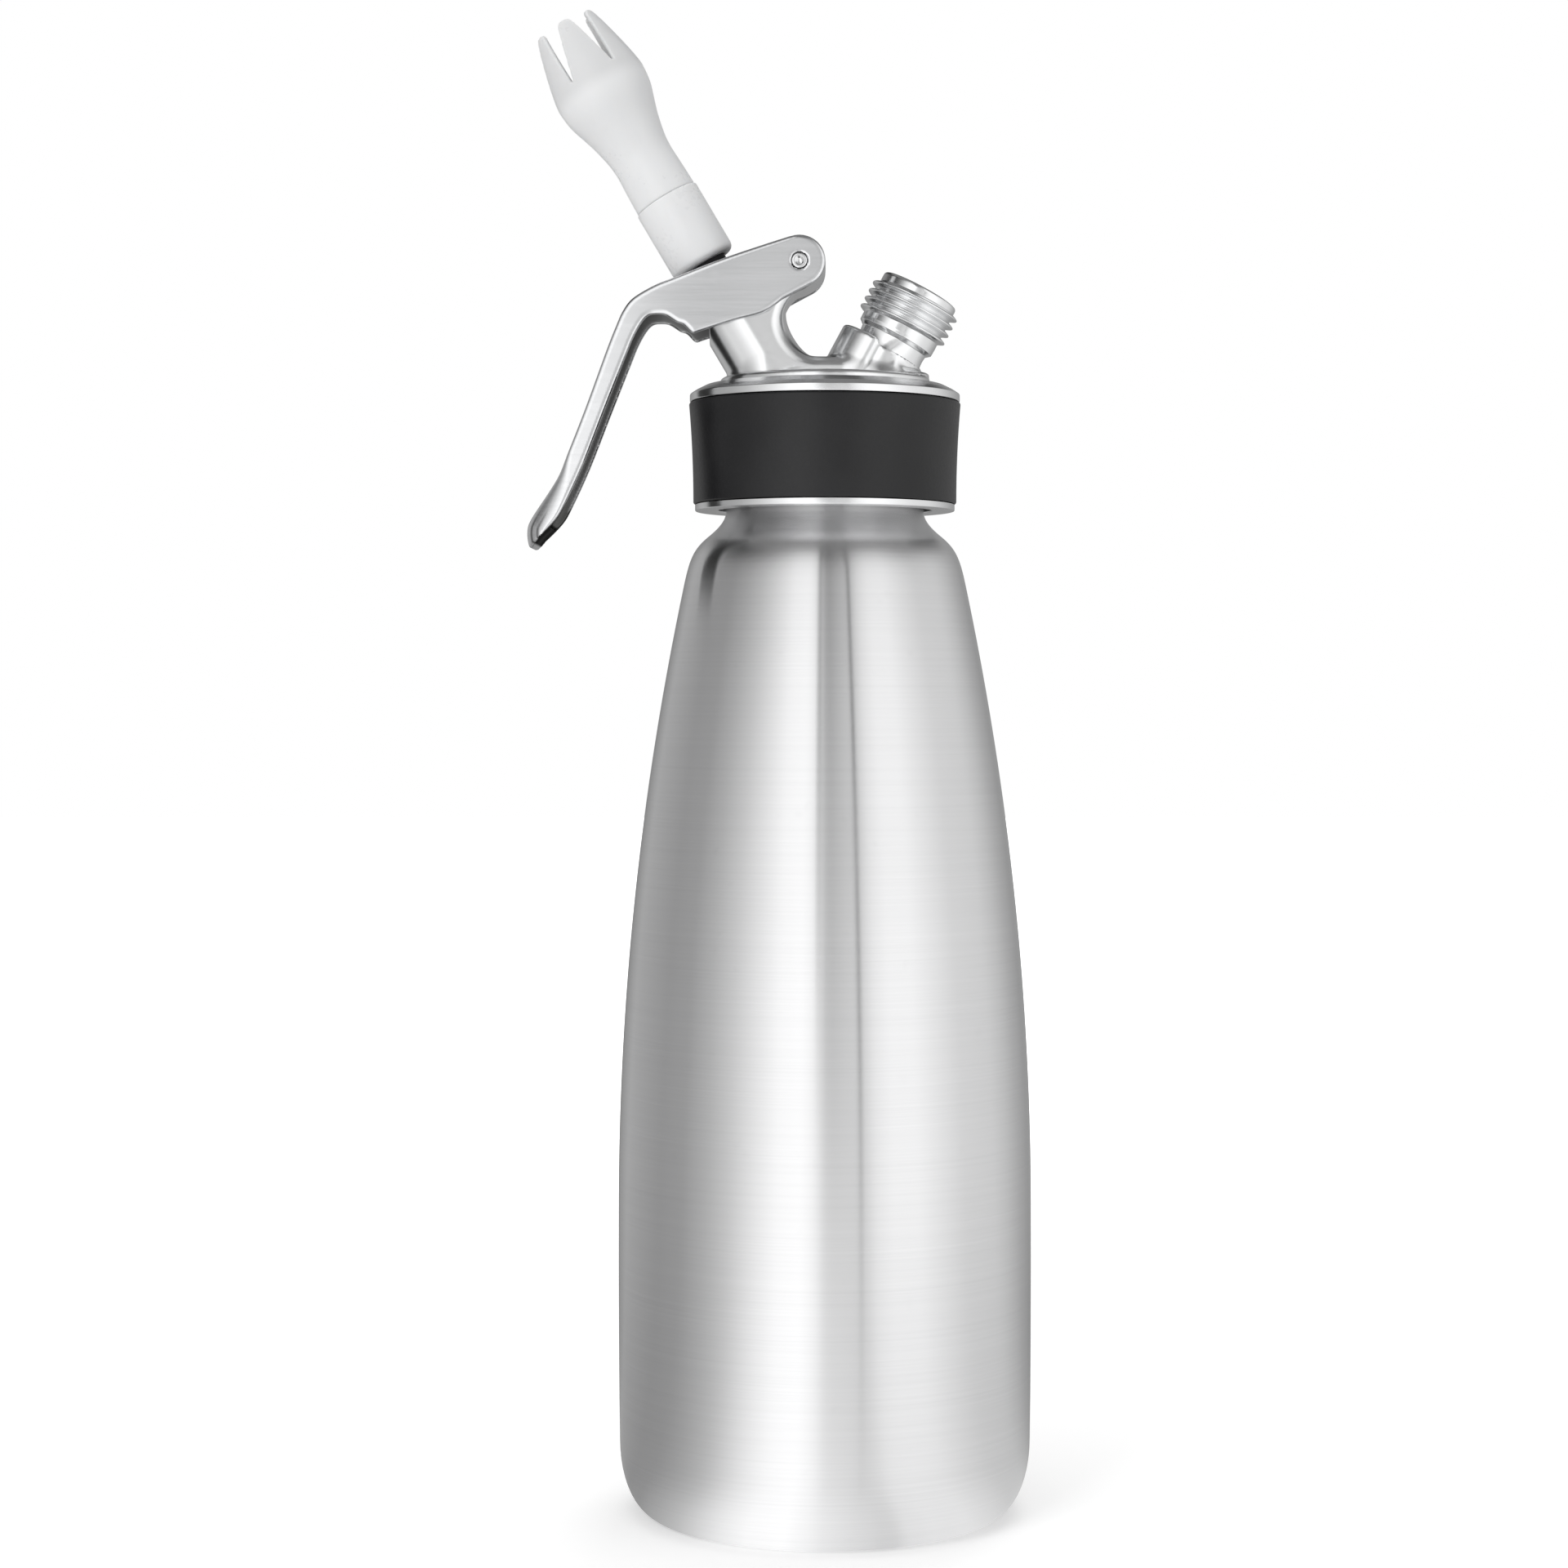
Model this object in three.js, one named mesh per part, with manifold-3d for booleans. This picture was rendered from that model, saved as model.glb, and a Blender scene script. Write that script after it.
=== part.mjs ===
// A whipped cream dispenser: a one-litre steel bottle with a screw-on head, a squeeze lever,
// a spring-loaded valve with a tulip tip, and an open threaded port for a gas charger holder.
// Millimetres, +Z up. The origin is the centre of the bottle's flat base. The lever and the tip
// lean toward -X, the gas port leans toward +X.
import * as THREE from "three";
import { mergeVertices } from "three/addons/utils/BufferGeometryUtils.js";
import Module from "manifold-3d";

const wasm = await Module();
wasm.setup();

// Facets of round pieces
const ROUND_STEPS = 36;
const MEDIUM_STEPS = 22;
const SMALL_STEPS = 14;
const TULIP_STEPS = 30;
const MERGE_GAP = 1e-4;
const FADE_SHARE = 1 / 8;

// Fits and clearances
const FIT_GAP = 0.3;
const CUT_OVERRUN = 1;
const EMBED = 0.5;

// Bottle
const BOTTLE_RADIUS = 47.6;
const SHOULDER_HEIGHT = 229.3;
const BOTTLE_WALL = 1.2;
const REST_RADIUS = 39.5;
const CORNER_WIDTH = 6.5;
const CORNER_HEIGHT = 7.5;
const CORNER_STEPS = 5;
const CORNER_POWER = 1.25;
const BASE_GROOVE_RADIUS = 31;
const BASE_GROOVE_WIDTH = 5;
const BASE_GROOVE_DEPTH = 0.7;
const NECK_RADIUS = 22.8;
const NECK_WALL = 1.5;
const NECK_LENGTH = 20.7;
const NECK_LIP = 0.6;

// Neck thread
const NECK_PITCH = 3;
const NECK_TURNS = 1.5;
const NECK_CREST = 1.5;
const THREAD_GAP = 0.5;
const NECK_ROOT_WIDTH = 1.7;
const NECK_CREST_WIDTH = 0.7;
const NECK_THREAD_DROP = 11.5;

// Head casting
const SKIRT_WALL = 2.7;
const SKIRT_LENGTH = 22.9;
const TOP_RIM_RISE = 2.2;
const RIM_REACH = 31.2;
const RIM_HEIGHT = 1.8;
const LOWER_RIM_REACH = 30;
const LOWER_RIM_HEIGHT = 1.5;
const DOME_RISE = 2.6;
const PLATFORM_RADIUS = 24.2;
const PLATFORM_HEIGHT = 1.2;
const PLATFORM_EDGE = 0.5;
const DISH_RADIUS = 19;
const DISH_DEPTH = 3.8;

// Grip band
const BAND_TOP_RADIUS = 31.4;
const BAND_LOW_RADIUS = 30.4;

// Head gasket
const GASKET_THICKNESS = 2.2;
const GASKET_WIDTH = 4.3;
const GASKET_TAB = 3;
const GASKET_TAB_WIDTH = 6;

// Dispensing valve: its axis leans toward -X through the foot of the tip's collar
const VALVE_LEAN = THREE.MathUtils.degToRad(30.6);
const TIP_FOOT_REACH = 28.2;
const TIP_FOOT_RISE = 37.8;
const TOWER_RADIUS = 8.55;
const TOWER_TOP_DROP = 11.7;
const TOWER_LENGTH = 19;
const WELL_RADIUS = 6.3;
const WELL_DEPTH = 18.8;
const PASSAGE_RADIUS = 4.6;
const SEAT_DROP = 43.2;
const SEAT_RADIUS = 7.2;
const SEAT_LENGTH = 8;
const GUIDE_LENGTH = 7;
const STEM_RADIUS = 3;
const STEM_BORE = 1.9;
const STEM_TAIL_RADIUS = 2;
const STEM_TAIL_LENGTH = 7.4;
const STEM_TOP_DROP = 2.2;
const STEM_PORT_RADIUS = 1.1;
const STEM_PORT_RISE = 4;
const RING_SECTION = 0.8;
const RING_RISE = 3.4;
const SEAL_RADIUS = 6.5;
const SEAL_THICKNESS = 2.7;
const RETAINER_RADIUS = 5;
const RETAINER_THICKNESS = 2.6;
const FLANGE_RADIUS = 7.5;
const FLANGE_THICKNESS = 1.8;
const VALVE_TRAVEL = 2.5;
const ADAPTER_RADIUS = 4;
const ADAPTER_TOP = 10.8;
const ADAPTER_BORE = 2.4;
const SPRING_RADIUS = 4.95;
const SPRING_WIRE = 1.2;
const SPRING_CURLS = 5;
const CURL_STEPS = 10;
const CURL_SIDES = 6;

// Tip and its thread
const COLLAR_RADIUS = 7.8;
const COLLAR_LENGTH = 16.5;
const COLLAR_MOUTH_DEPTH = 1.5;
const COLLAR_EDGE = 0.8;
const INSERT_RADIUS = 6;
const INSERT_LENGTH = 9.5;
const TIP_PITCH = 2;
const TIP_TURNS = 2.5;
const TIP_CREST = 0.8;
const TIP_ROOT_WIDTH = 1;
const TIP_CREST_WIDTH = 0.5;
const TIP_BORE = 3.2;
const TULIP_LENGTH = 46.4;
const TULIP_BULGE = 11.1;
const TULIP_WALL = 1.3;
const TULIP_SPIGOT = 1.6;
const SLIT_COUNT = 6;
const SLIT_LENGTH = 12.9;
const SLIT_MOUTH = 4;
const SLIT_TURN = THREE.MathUtils.degToRad(-19.5);

// Lever and hinge
const HINGE_REACH = 5.8;
const HINGE_RISE = 36.6;
const LEVER_REACH = 62.6;
const LEVER_DROP = 65.4;
const LEVER_SIDE_GAP = 0.35;
const CHEEK_THICKNESS = 1.9;
const CHEEK_EDGE = 0.35;
const LEVER_END_RADIUS = 5.75;
const LEVER_WEB_THICKNESS = 1.8;
const BRIDGE_LENGTH = 4;
const LEVER_TOP_STEPS = 28;
const LEVER_UNDER_STEPS = 32;
const LUG_RADIUS = 2.2;
const LUG_LENGTH = 3.9;
const PIN_RADIUS = 2;
const PIN_PROUD = 0.2;
const PIN_DIMPLE_RADIUS = 1.2;
const PIN_DIMPLE_DEPTH = 0.6;
const BOSS_RADIUS = 5.4;
const BOSS_SIDE_STEP = 0.3;
const BOSS_EDGE = 0.6;
const SADDLE_REACH = 6.6;
const SADDLE_RISE = 15.2;
const SADDLE_RADIUS = 8.1;

// Gas port
const PORT_LEAN = THREE.MathUtils.degToRad(28.2);
const PORT_REACH = 22.2;
const PORT_RISE = 31;
const PORT_CREST_RADIUS = 10.7;
const PORT_ROOT_RADIUS = 9.3;
const PORT_PITCH = 2;
const PORT_TURNS = 4.7;
const PORT_THREAD_LENGTH = 11.3;
const PORT_ROOT_WIDTH = 1.7;
const PORT_CREST_WIDTH = 0.4;
const PORT_RELIEF = 1.6;
const PORT_NECK_RADIUS = 8.5;
const PORT_LENGTH = 20.1;
const PORT_BORE = 5.2;
const PORT_BORE_DEPTH = 12.9;
const PORT_PASSAGE = 2.6;
const CRADLE_OFFSET = 3.4;
const CRADLE_TOP_DROP = 15.4;
const FOOT_RADIUS = 10.2;
const FOOT_HEIGHT = 3.6;
const GAS_HOLE_RADIUS = 1;
const PIN_BASE_THICKNESS = 2.1;
const PIN_STEM_RADIUS = 2.2;
const PIN_STEM_LENGTH = 6.6;
const NEEDLE_RADIUS = 0.9;
const NEEDLE_LENGTH = 5.2;
const NEEDLE_TIP_RADIUS = 0.65;
const NEEDLE_BORE = 0.45;
const PIN_SEAL_THICKNESS = 1.1;
const CHARGER_SEAL_THICKNESS = 1.4;
const CHECK_REACH = 6;
const CHECK_RADIUS = 4.4;
const CHECK_THICKNESS = 1.1;
const CHECK_STEM_RADIUS = 1;
const CHECK_STEM_LENGTH = 1.9;

// Places worked out from the driving sizes
const RIM_TOP = SHOULDER_HEIGHT + NECK_LENGTH;
const NECK_BORE = NECK_RADIUS - NECK_WALL;
const NECK_CREST_RADIUS = NECK_RADIUS + NECK_CREST;
const SKIRT_BORE = NECK_CREST_RADIUS + THREAD_GAP;
const SKIRT_RADIUS = SKIRT_BORE + SKIRT_WALL;
const GASKET_FLOOR = RIM_TOP + FIT_GAP;
const CEILING = GASKET_FLOOR + GASKET_THICKNESS + FIT_GAP;
const SKIRT_BOTTOM = CEILING - SKIRT_LENGTH;
const SHELF_TOP = CEILING + DISH_DEPTH;
const TOP_RIM_BOTTOM = CEILING + TOP_RIM_RISE;
const TOP_RIM_TOP = TOP_RIM_BOTTOM + RIM_HEIGHT;
const DOME_TOP = TOP_RIM_TOP + DOME_RISE;
const PLATFORM_TOP = DOME_TOP + PLATFORM_HEIGHT;
const MOVING_STACK = FLANGE_THICKNESS + VALVE_TRAVEL + FIT_GAP;
const FLANGE_TOP_DROP = TOWER_TOP_DROP - MOVING_STACK;
const FLANGE_LOW_DROP = FLANGE_TOP_DROP + FLANGE_THICKNESS;
const WELL_FLOOR_DROP = TOWER_TOP_DROP + WELL_DEPTH;
const GUIDE_TOP_DROP = WELL_FLOOR_DROP - FIT_GAP - GUIDE_LENGTH;
const LUG_DROP = FLANGE_TOP_DROP - FIT_GAP - LUG_RADIUS;
const HINGE_HEIGHT = RIM_TOP + HINGE_RISE;
const CHEEK_FACE = TOWER_RADIUS + LEVER_SIDE_GAP;

// Outlines as shares of the sizes that they follow
const BODY_SHARES = [
  [0.989, 0.052],
  [0.996, 0.131],
  [1, 0.262],
  [0.998, 0.398],
  [0.987, 0.464],
  [0.96, 0.53],
  [0.933, 0.596],
  [0.897, 0.662],
  [0.853, 0.728],
  [0.807, 0.794],
  [0.75, 0.86],
  [0.687, 0.925],
  [0.662, 0.95],
  [0.632, 0.963],
  [0.597, 0.971],
  [0.55, 0.979],
  [0.513, 0.987],
  [0.494, 0.992],
];
const TULIP_SHARES = [
  [0.676, 0.006],
  [0.658, 0.133],
  [0.644, 0.218],
  [0.667, 0.288],
  [0.757, 0.391],
  [0.856, 0.467],
  [0.968, 0.552],
  [1, 0.641],
  [0.946, 0.74],
  [0.865, 0.827],
  [0.766, 0.926],
  [0.676, 1],
];
const LEVER_TOP_SHARES = [
  [0.056, 0.087],
  [0.294, 0.003],
  [0.46, -0.06],
  [0.521, -0.083],
  [0.583, -0.115],
  [0.62, -0.142],
  [0.647, -0.18],
  [0.666, -0.222],
  [0.703, -0.31],
  [0.78, -0.512],
  [0.848, -0.68],
  [0.877, -0.746],
  [0.915, -0.804],
  [0.984, -0.899],
  [1, -0.945],
  [0.992, -0.994],
  [0.978, -1],
];
const LEVER_UNDER_SHARES = [
  [0.95, -0.965],
  [0.89, -0.905],
  [0.855, -0.849],
  [0.788, -0.709],
  [0.711, -0.521],
  [0.636, -0.339],
  [0.605, -0.268],
  [0.575, -0.216],
  [0.55, -0.191],
  [0.518, -0.186],
  [0.487, -0.191],
  [0.449, -0.214],
  [0.423, -0.223],
  [0.398, -0.248],
  [0.383, -0.252],
  [0.361, -0.245],
  [0.235, -0.208],
  [0.131, -0.18],
  [0.062, -0.135],
];
const DOME_SHARES = [
  [0.2, 0.35],
  [0.5, 0.75],
];
const SADDLE_BACK_SHARE = 0.62;
const SADDLE_SHIFT_SHARE = 0.78;
const COLLAR_CORNER_SHARE = 0.3;
const BRIDGE_START_SHARE = 0.32;
const SKIN_START_SHARE = 0.52;

// Materials
function steel(color, roughness) {
  return new THREE.MeshStandardMaterial({ color, roughness, metalness: 1 });
}

function polymer(color, roughness) {
  return new THREE.MeshStandardMaterial({ color, roughness, metalness: 0 });
}

const brushedSteel = steel(0xc4c5c6, 0.38);
const satinSteel = steel(0xb2b4b6, 0.42);
const polishedSteel = steel(0xdddfe0, 0.15);
const bandSilicone = polymer(0x333434, 0.6);
const sealRubber = polymer(0x2a2a2a, 0.7);
const gasketSilicone = polymer(0xa33a30, 0.6);
const adapterPlastic = polymer(0x1d1d1e, 0.45);
const tipPlastic = polymer(0xe4e5e5, 0.4);
const guidePlastic = polymer(0xeeeeea, 0.5);

// A closed geometry as a solid whose faces point out
function solidOf(geometry) {
  const source = geometry.index ? geometry.toNonIndexed() : geometry.clone();
  source.deleteAttribute("normal");
  source.deleteAttribute("uv");
  const merged = mergeVertices(source, MERGE_GAP);
  const corners = Array.from(merged.index.array);
  const triVerts = [];
  for (let i = 0; i < corners.length; i += 3) {
    const [a, b, c] = corners.slice(i, i + 3);
    if (a !== b && b !== c && c !== a) triVerts.push(a, b, c);
  }
  const made = (indices) =>
    new wasm.Manifold(
      new wasm.Mesh({
        numProp: 3,
        vertProperties: merged.attributes.position.array,
        triVerts: new Uint32Array(indices),
      }),
    );
  const solid = made(triVerts);
  return solid.volume() < 0 ? made(triVerts.reverse()) : solid;
}

// A solid as a geometry to draw
function geometryOf(solid) {
  const mesh = solid.getMesh();
  const geometry = new THREE.BufferGeometry();
  const positions = new Float32Array(mesh.numVert * 3);
  for (let i = 0; i < mesh.numVert; i++) {
    positions.set(mesh.vertProperties.subarray(i * mesh.numProp, i * mesh.numProp + 3), i * 3);
  }
  geometry.setAttribute("position", new THREE.BufferAttribute(positions, 3));
  geometry.setIndex(new THREE.BufferAttribute(mesh.triVerts, 1));
  geometry.computeVertexNormals();
  return geometry;
}

// A profile of [radius, height] points turned about +Z. A profile that leaves the axis closes on itself.
function turned(profile, steps) {
  const points = profile.map(([radius, height]) => new THREE.Vector2(radius, height));
  const onAxis = profile[0][0] === 0 && profile[profile.length - 1][0] === 0;
  if (!onAxis) points.push(points[0].clone());
  return new THREE.LatheGeometry(points, steps).rotateX(Math.PI / 2);
}

function rod(radius, low, high, steps) {
  return turned([[0, low], [radius, low], [radius, high], [0, high]], steps);
}

function tube(bore, radius, low, high, steps) {
  return turned([[bore, low], [radius, low], [radius, high], [bore, high]], steps);
}

// A thread ridge wound about +Z, with a sunk root and a crest that fades in and out at its ends
function threadRidge({ root, crest, pitch, turns, low, rootWidth, crestWidth, steps }) {
  const inward = crest < root;
  const sunk = inward ? root + EMBED : root - EMBED;
  const count = Math.round(turns * steps);
  const fadeSteps = Math.round(steps * FADE_SHARE);
  const positions = [];
  for (let i = 0; i <= count; i++) {
    const angle = (2 * Math.PI * turns * i) / count;
    const height = low + (pitch * turns * i) / count;
    const fade = Math.min(1, (i + 1) / (fadeSteps + 1), (count - i + 1) / (fadeSteps + 1));
    const top = root + (crest - root) * fade;
    const corners = [
      [sunk, height - rootWidth / 2],
      [top, height - crestWidth / 2],
      [top, height + crestWidth / 2],
      [sunk, height + rootWidth / 2],
    ];
    for (const [radius, level] of corners) {
      positions.push(radius * Math.cos(angle), radius * Math.sin(angle), level);
    }
  }
  return sweptRings(positions, 4, count + 1);
}

// Rings of points joined into one closed tube with flat ends
function sweptRings(positions, sides, rings) {
  const indices = [];
  for (let i = 0; i < rings - 1; i++) {
    for (let j = 0; j < sides; j++) {
      const a = i * sides + j;
      const b = i * sides + ((j + 1) % sides);
      indices.push(a, b, b + sides, a, b + sides, a + sides);
    }
  }
  const last = (rings - 1) * sides;
  for (let j = 1; j < sides - 1; j++) {
    indices.push(0, j + 1, j);
    indices.push(last, last + j, last + j + 1);
  }
  const geometry = new THREE.BufferGeometry();
  geometry.setAttribute("position", new THREE.Float32BufferAttribute(positions, 3));
  geometry.setIndex(indices);
  return geometry;
}

// An outline in the XZ plane, thickened along Y from back to front
function plate(points, front, back, edge) {
  const shape = new THREE.Shape(points.map(([x, z]) => new THREE.Vector2(x, z)));
  const geometry = new THREE.ExtrudeGeometry(shape, {
    depth: back - front - 2 * edge,
    bevelEnabled: edge > 0,
    bevelThickness: edge,
    bevelSize: edge,
    bevelOffset: -edge,
    bevelSegments: 1,
  });
  return geometry.rotateX(Math.PI / 2).translate(0, back - edge, 0);
}

function arcPoints(x, z, radius, startAngle, endAngle, steps) {
  const points = [];
  for (let i = 0; i <= steps; i++) {
    const angle = startAngle + ((endAngle - startAngle) * i) / steps;
    points.push([x + radius * Math.cos(angle), z + radius * Math.sin(angle)]);
  }
  return points;
}

// The points of an outline moved by a distance along its normals
function offsetOutline(points, distance) {
  return points.map(([x, y], i) => {
    const before = points[Math.max(0, i - 1)];
    const after = points[Math.min(points.length - 1, i + 1)];
    const along = new THREE.Vector2(after[0] - before[0], after[1] - before[1]).normalize();
    return [x - along.y * distance, y + along.x * distance];
  });
}

function placed(geometry, matrix) {
  return geometry.clone().applyMatrix4(matrix);
}

const valveFrame = new THREE.Matrix4()
  .makeRotationY(-VALVE_LEAN)
  .setPosition(-TIP_FOOT_REACH, 0, RIM_TOP + TIP_FOOT_RISE);
const portFrame = new THREE.Matrix4()
  .makeRotationY(PORT_LEAN)
  .setPosition(PORT_REACH, 0, RIM_TOP + PORT_RISE);

// The rod from one height to another along Y, at a place in the XZ plane
function crossRod(radius, x, z, front, back, steps) {
  return rod(radius, -back, -front, steps).rotateX(Math.PI / 2).translate(x, 0, z);
}

function bottle() {
  const corner = [];
  for (let i = 0; i <= CORNER_STEPS; i++) {
    const angle = (Math.PI / 2) * (i / CORNER_STEPS);
    corner.push([
      REST_RADIUS + CORNER_WIDTH * Math.sin(angle) ** CORNER_POWER,
      CORNER_HEIGHT * (1 - Math.cos(angle) ** CORNER_POWER),
    ]);
  }
  const body = BODY_SHARES.map(([r, z]) => [r * BOTTLE_RADIUS, z * SHOULDER_HEIGHT]);
  const wall = [...corner, ...body, [NECK_RADIUS, SHOULDER_HEIGHT]];
  const inner = offsetOutline(wall, BOTTLE_WALL).filter((_, i) => i % 3 === 1);
  const grooveLow = BASE_GROOVE_RADIUS - BASE_GROOVE_WIDTH / 2;
  const grooveHigh = BASE_GROOVE_RADIUS + BASE_GROOVE_WIDTH / 2;
  const profile = [
    [0, 0],
    [grooveLow, 0],
    [grooveLow + BASE_GROOVE_DEPTH, BASE_GROOVE_DEPTH],
    [grooveHigh - BASE_GROOVE_DEPTH, BASE_GROOVE_DEPTH],
    [grooveHigh, 0],
    ...wall,
    [NECK_RADIUS, RIM_TOP - NECK_LIP],
    [NECK_RADIUS - NECK_LIP, RIM_TOP],
    [NECK_BORE, RIM_TOP],
    [NECK_BORE, SHOULDER_HEIGHT],
    ...inner.reverse(),
    [REST_RADIUS, BASE_GROOVE_DEPTH + BOTTLE_WALL],
    [0, BASE_GROOVE_DEPTH + BOTTLE_WALL],
  ];
  const thread = threadRidge({
    root: NECK_RADIUS,
    crest: NECK_CREST_RADIUS,
    pitch: NECK_PITCH,
    turns: NECK_TURNS,
    low: RIM_TOP - NECK_THREAD_DROP,
    rootWidth: NECK_ROOT_WIDTH,
    crestWidth: NECK_CREST_WIDTH,
    steps: ROUND_STEPS,
  });
  return solidOf(turned(profile, ROUND_STEPS)).add(solidOf(thread));
}

function gripBand() {
  const inner = SKIRT_RADIUS + FIT_GAP;
  const low = SKIRT_BOTTOM + LOWER_RIM_HEIGHT + FIT_GAP;
  const high = TOP_RIM_BOTTOM - FIT_GAP;
  const outer = [];
  const steps = 6;
  for (let i = 0; i <= steps; i++) {
    const share = i / steps;
    outer.push([
      BAND_LOW_RADIUS + (BAND_TOP_RADIUS - BAND_LOW_RADIUS) * share ** 2,
      low + (high - low) * share,
    ]);
  }
  return solidOf(turned([[inner, low], ...outer, [inner, high]], ROUND_STEPS));
}

// The saddle casting between the valve tower, the hinge boss and the gas port
function saddlePoints() {
  const pinX = -HINGE_REACH;
  const boss = arcPoints(pinX, HINGE_HEIGHT, BOSS_RADIUS, Math.PI * 0.95, -Math.PI * 0.28, 12);
  const hollowZ = RIM_TOP + SADDLE_RISE + SADDLE_RADIUS;
  const hollowX = BOSS_RADIUS * SADDLE_SHIFT_SHARE - HINGE_REACH;
  const hollow = arcPoints(hollowX, hollowZ, SADDLE_RADIUS, Math.PI * 0.62, Math.PI * 1.5, 12);
  return [
    ...boss,
    ...hollow,
    [SADDLE_REACH, RIM_TOP + SADDLE_RISE],
    [PLATFORM_RADIUS - EMBED, PLATFORM_TOP],
    [PLATFORM_RADIUS - EMBED, DOME_TOP - EMBED],
    [-PLATFORM_RADIUS * SADDLE_BACK_SHARE, DOME_TOP - EMBED],
    [-PLATFORM_RADIUS * SADDLE_BACK_SHARE, RIM_TOP + SADDLE_RISE],
  ];
}

function headSolid() {
  const shell = solidOf(
    turned(
      [
        [0, CEILING],
        [SKIRT_BORE, CEILING],
        [SKIRT_BORE, SKIRT_BOTTOM],
        [LOWER_RIM_REACH, SKIRT_BOTTOM],
        [LOWER_RIM_REACH, SKIRT_BOTTOM + LOWER_RIM_HEIGHT],
        [SKIRT_RADIUS, SKIRT_BOTTOM + LOWER_RIM_HEIGHT],
        [SKIRT_RADIUS, TOP_RIM_BOTTOM],
        [RIM_REACH, TOP_RIM_BOTTOM],
        [RIM_REACH, TOP_RIM_TOP],
        ...DOME_SHARES.map(([r, z]) => [
          RIM_REACH - (RIM_REACH - PLATFORM_RADIUS) * r,
          TOP_RIM_TOP + DOME_RISE * z,
        ]),
        [PLATFORM_RADIUS, DOME_TOP],
        [PLATFORM_RADIUS, PLATFORM_TOP - PLATFORM_EDGE],
        [PLATFORM_RADIUS - PLATFORM_EDGE, PLATFORM_TOP],
        [0, PLATFORM_TOP],
      ],
      ROUND_STEPS,
    ),
  );
  const halfWidth = TOWER_RADIUS - BOSS_SIDE_STEP;
  const saddle = solidOf(plate(saddlePoints(), -halfWidth, halfWidth, BOSS_EDGE));
  const towerLow = -(TOWER_TOP_DROP + TOWER_LENGTH);
  const tower = solidOf(
    placed(rod(TOWER_RADIUS, towerLow, -TOWER_TOP_DROP, MEDIUM_STEPS), valveFrame),
  );
  const cradle = solidOf(
    placed(
      rod(PORT_NECK_RADIUS, -PORT_LENGTH - EMBED, -CRADLE_TOP_DROP, MEDIUM_STEPS).translate(
        -CRADLE_OFFSET,
        0,
        0,
      ),
      portFrame,
    ),
  );
  const foot = solidOf(
    placed(
      turned(
        [
          [0, -PORT_LENGTH],
          [FOOT_RADIUS, -PORT_LENGTH],
          [FOOT_RADIUS, -PORT_LENGTH + FOOT_HEIGHT / 3],
          [PORT_NECK_RADIUS + 2 * FIT_GAP, -PORT_LENGTH + FOOT_HEIGHT],
          [0, -PORT_LENGTH + FOOT_HEIGHT],
        ],
        MEDIUM_STEPS,
      ),
      portFrame,
    ),
  );
  const dish = solidOf(
    rod(DISH_RADIUS, CEILING - CUT_OVERRUN, SHELF_TOP, MEDIUM_STEPS),
  );
  const seatTop = -SEAT_DROP + SEAT_LENGTH;
  const seat = solidOf(placed(rod(SEAT_RADIUS, -SEAT_DROP, seatTop, MEDIUM_STEPS), valveFrame));
  return shell.add(saddle).add(tower).add(cradle).add(foot).subtract(dish).add(seat);
}

function headBody() {
  const wellLow = -WELL_FLOOR_DROP;
  const well = solidOf(
    placed(rod(WELL_RADIUS, wellLow, -TOWER_TOP_DROP + CUT_OVERRUN, SMALL_STEPS), valveFrame),
  );
  const passage = solidOf(
    placed(
      rod(PASSAGE_RADIUS, -SEAT_DROP - CUT_OVERRUN, wellLow + CUT_OVERRUN, SMALL_STEPS),
      valveFrame,
    ),
  );
  const socketLow = -PORT_LENGTH - FIT_GAP;
  const socket = solidOf(
    placed(rod(PORT_NECK_RADIUS + FIT_GAP, socketLow, FIT_GAP, MEDIUM_STEPS), portFrame),
  );
  const gasHole = solidOf(
    placed(
      rod(GAS_HOLE_RADIUS, socketLow - PORT_LENGTH / 2, socketLow + CUT_OVERRUN, SMALL_STEPS),
      portFrame,
    ),
  );
  const checkHole = solidOf(
    rod(
      CHECK_STEM_RADIUS + FIT_GAP,
      SHELF_TOP - CUT_OVERRUN,
      SHELF_TOP + CHECK_STEM_LENGTH + FIT_GAP,
      SMALL_STEPS,
    ).translate(CHECK_REACH, 0, 0),
  );
  const pinHole = solidOf(
    crossRod(
      PIN_RADIUS + FIT_GAP,
      -HINGE_REACH,
      HINGE_HEIGHT,
      -TOWER_RADIUS,
      TOWER_RADIUS,
      SMALL_STEPS,
    ),
  );
  const thread = solidOf(
    threadRidge({
      root: SKIRT_BORE,
      crest: NECK_RADIUS + THREAD_GAP,
      pitch: NECK_PITCH,
      turns: NECK_TURNS,
      low: RIM_TOP - NECK_THREAD_DROP - NECK_PITCH / 2,
      rootWidth: NECK_ROOT_WIDTH,
      crestWidth: NECK_CREST_WIDTH,
      steps: ROUND_STEPS,
    }),
  );
  const cut = headSolid()
    .subtract(well)
    .subtract(passage)
    .subtract(socket)
    .subtract(gasHole)
    .subtract(checkHole)
    .subtract(pinHole);
  return cut.add(thread);
}

function headGasket() {
  const radius = SKIRT_BORE - 2 * FIT_GAP;
  const ring = tube(
    radius - GASKET_WIDTH,
    radius,
    GASKET_FLOOR,
    GASKET_FLOOR + GASKET_THICKNESS,
    ROUND_STEPS,
  );
  const reach = GASKET_TAB + EMBED;
  const tab = new THREE.BoxGeometry(reach, GASKET_TAB_WIDTH, GASKET_THICKNESS / 2);
  tab.translate(GASKET_WIDTH - radius + reach / 2 - EMBED, 0, GASKET_FLOOR + GASKET_THICKNESS / 2);
  return solidOf(ring).add(solidOf(tab));
}

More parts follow.
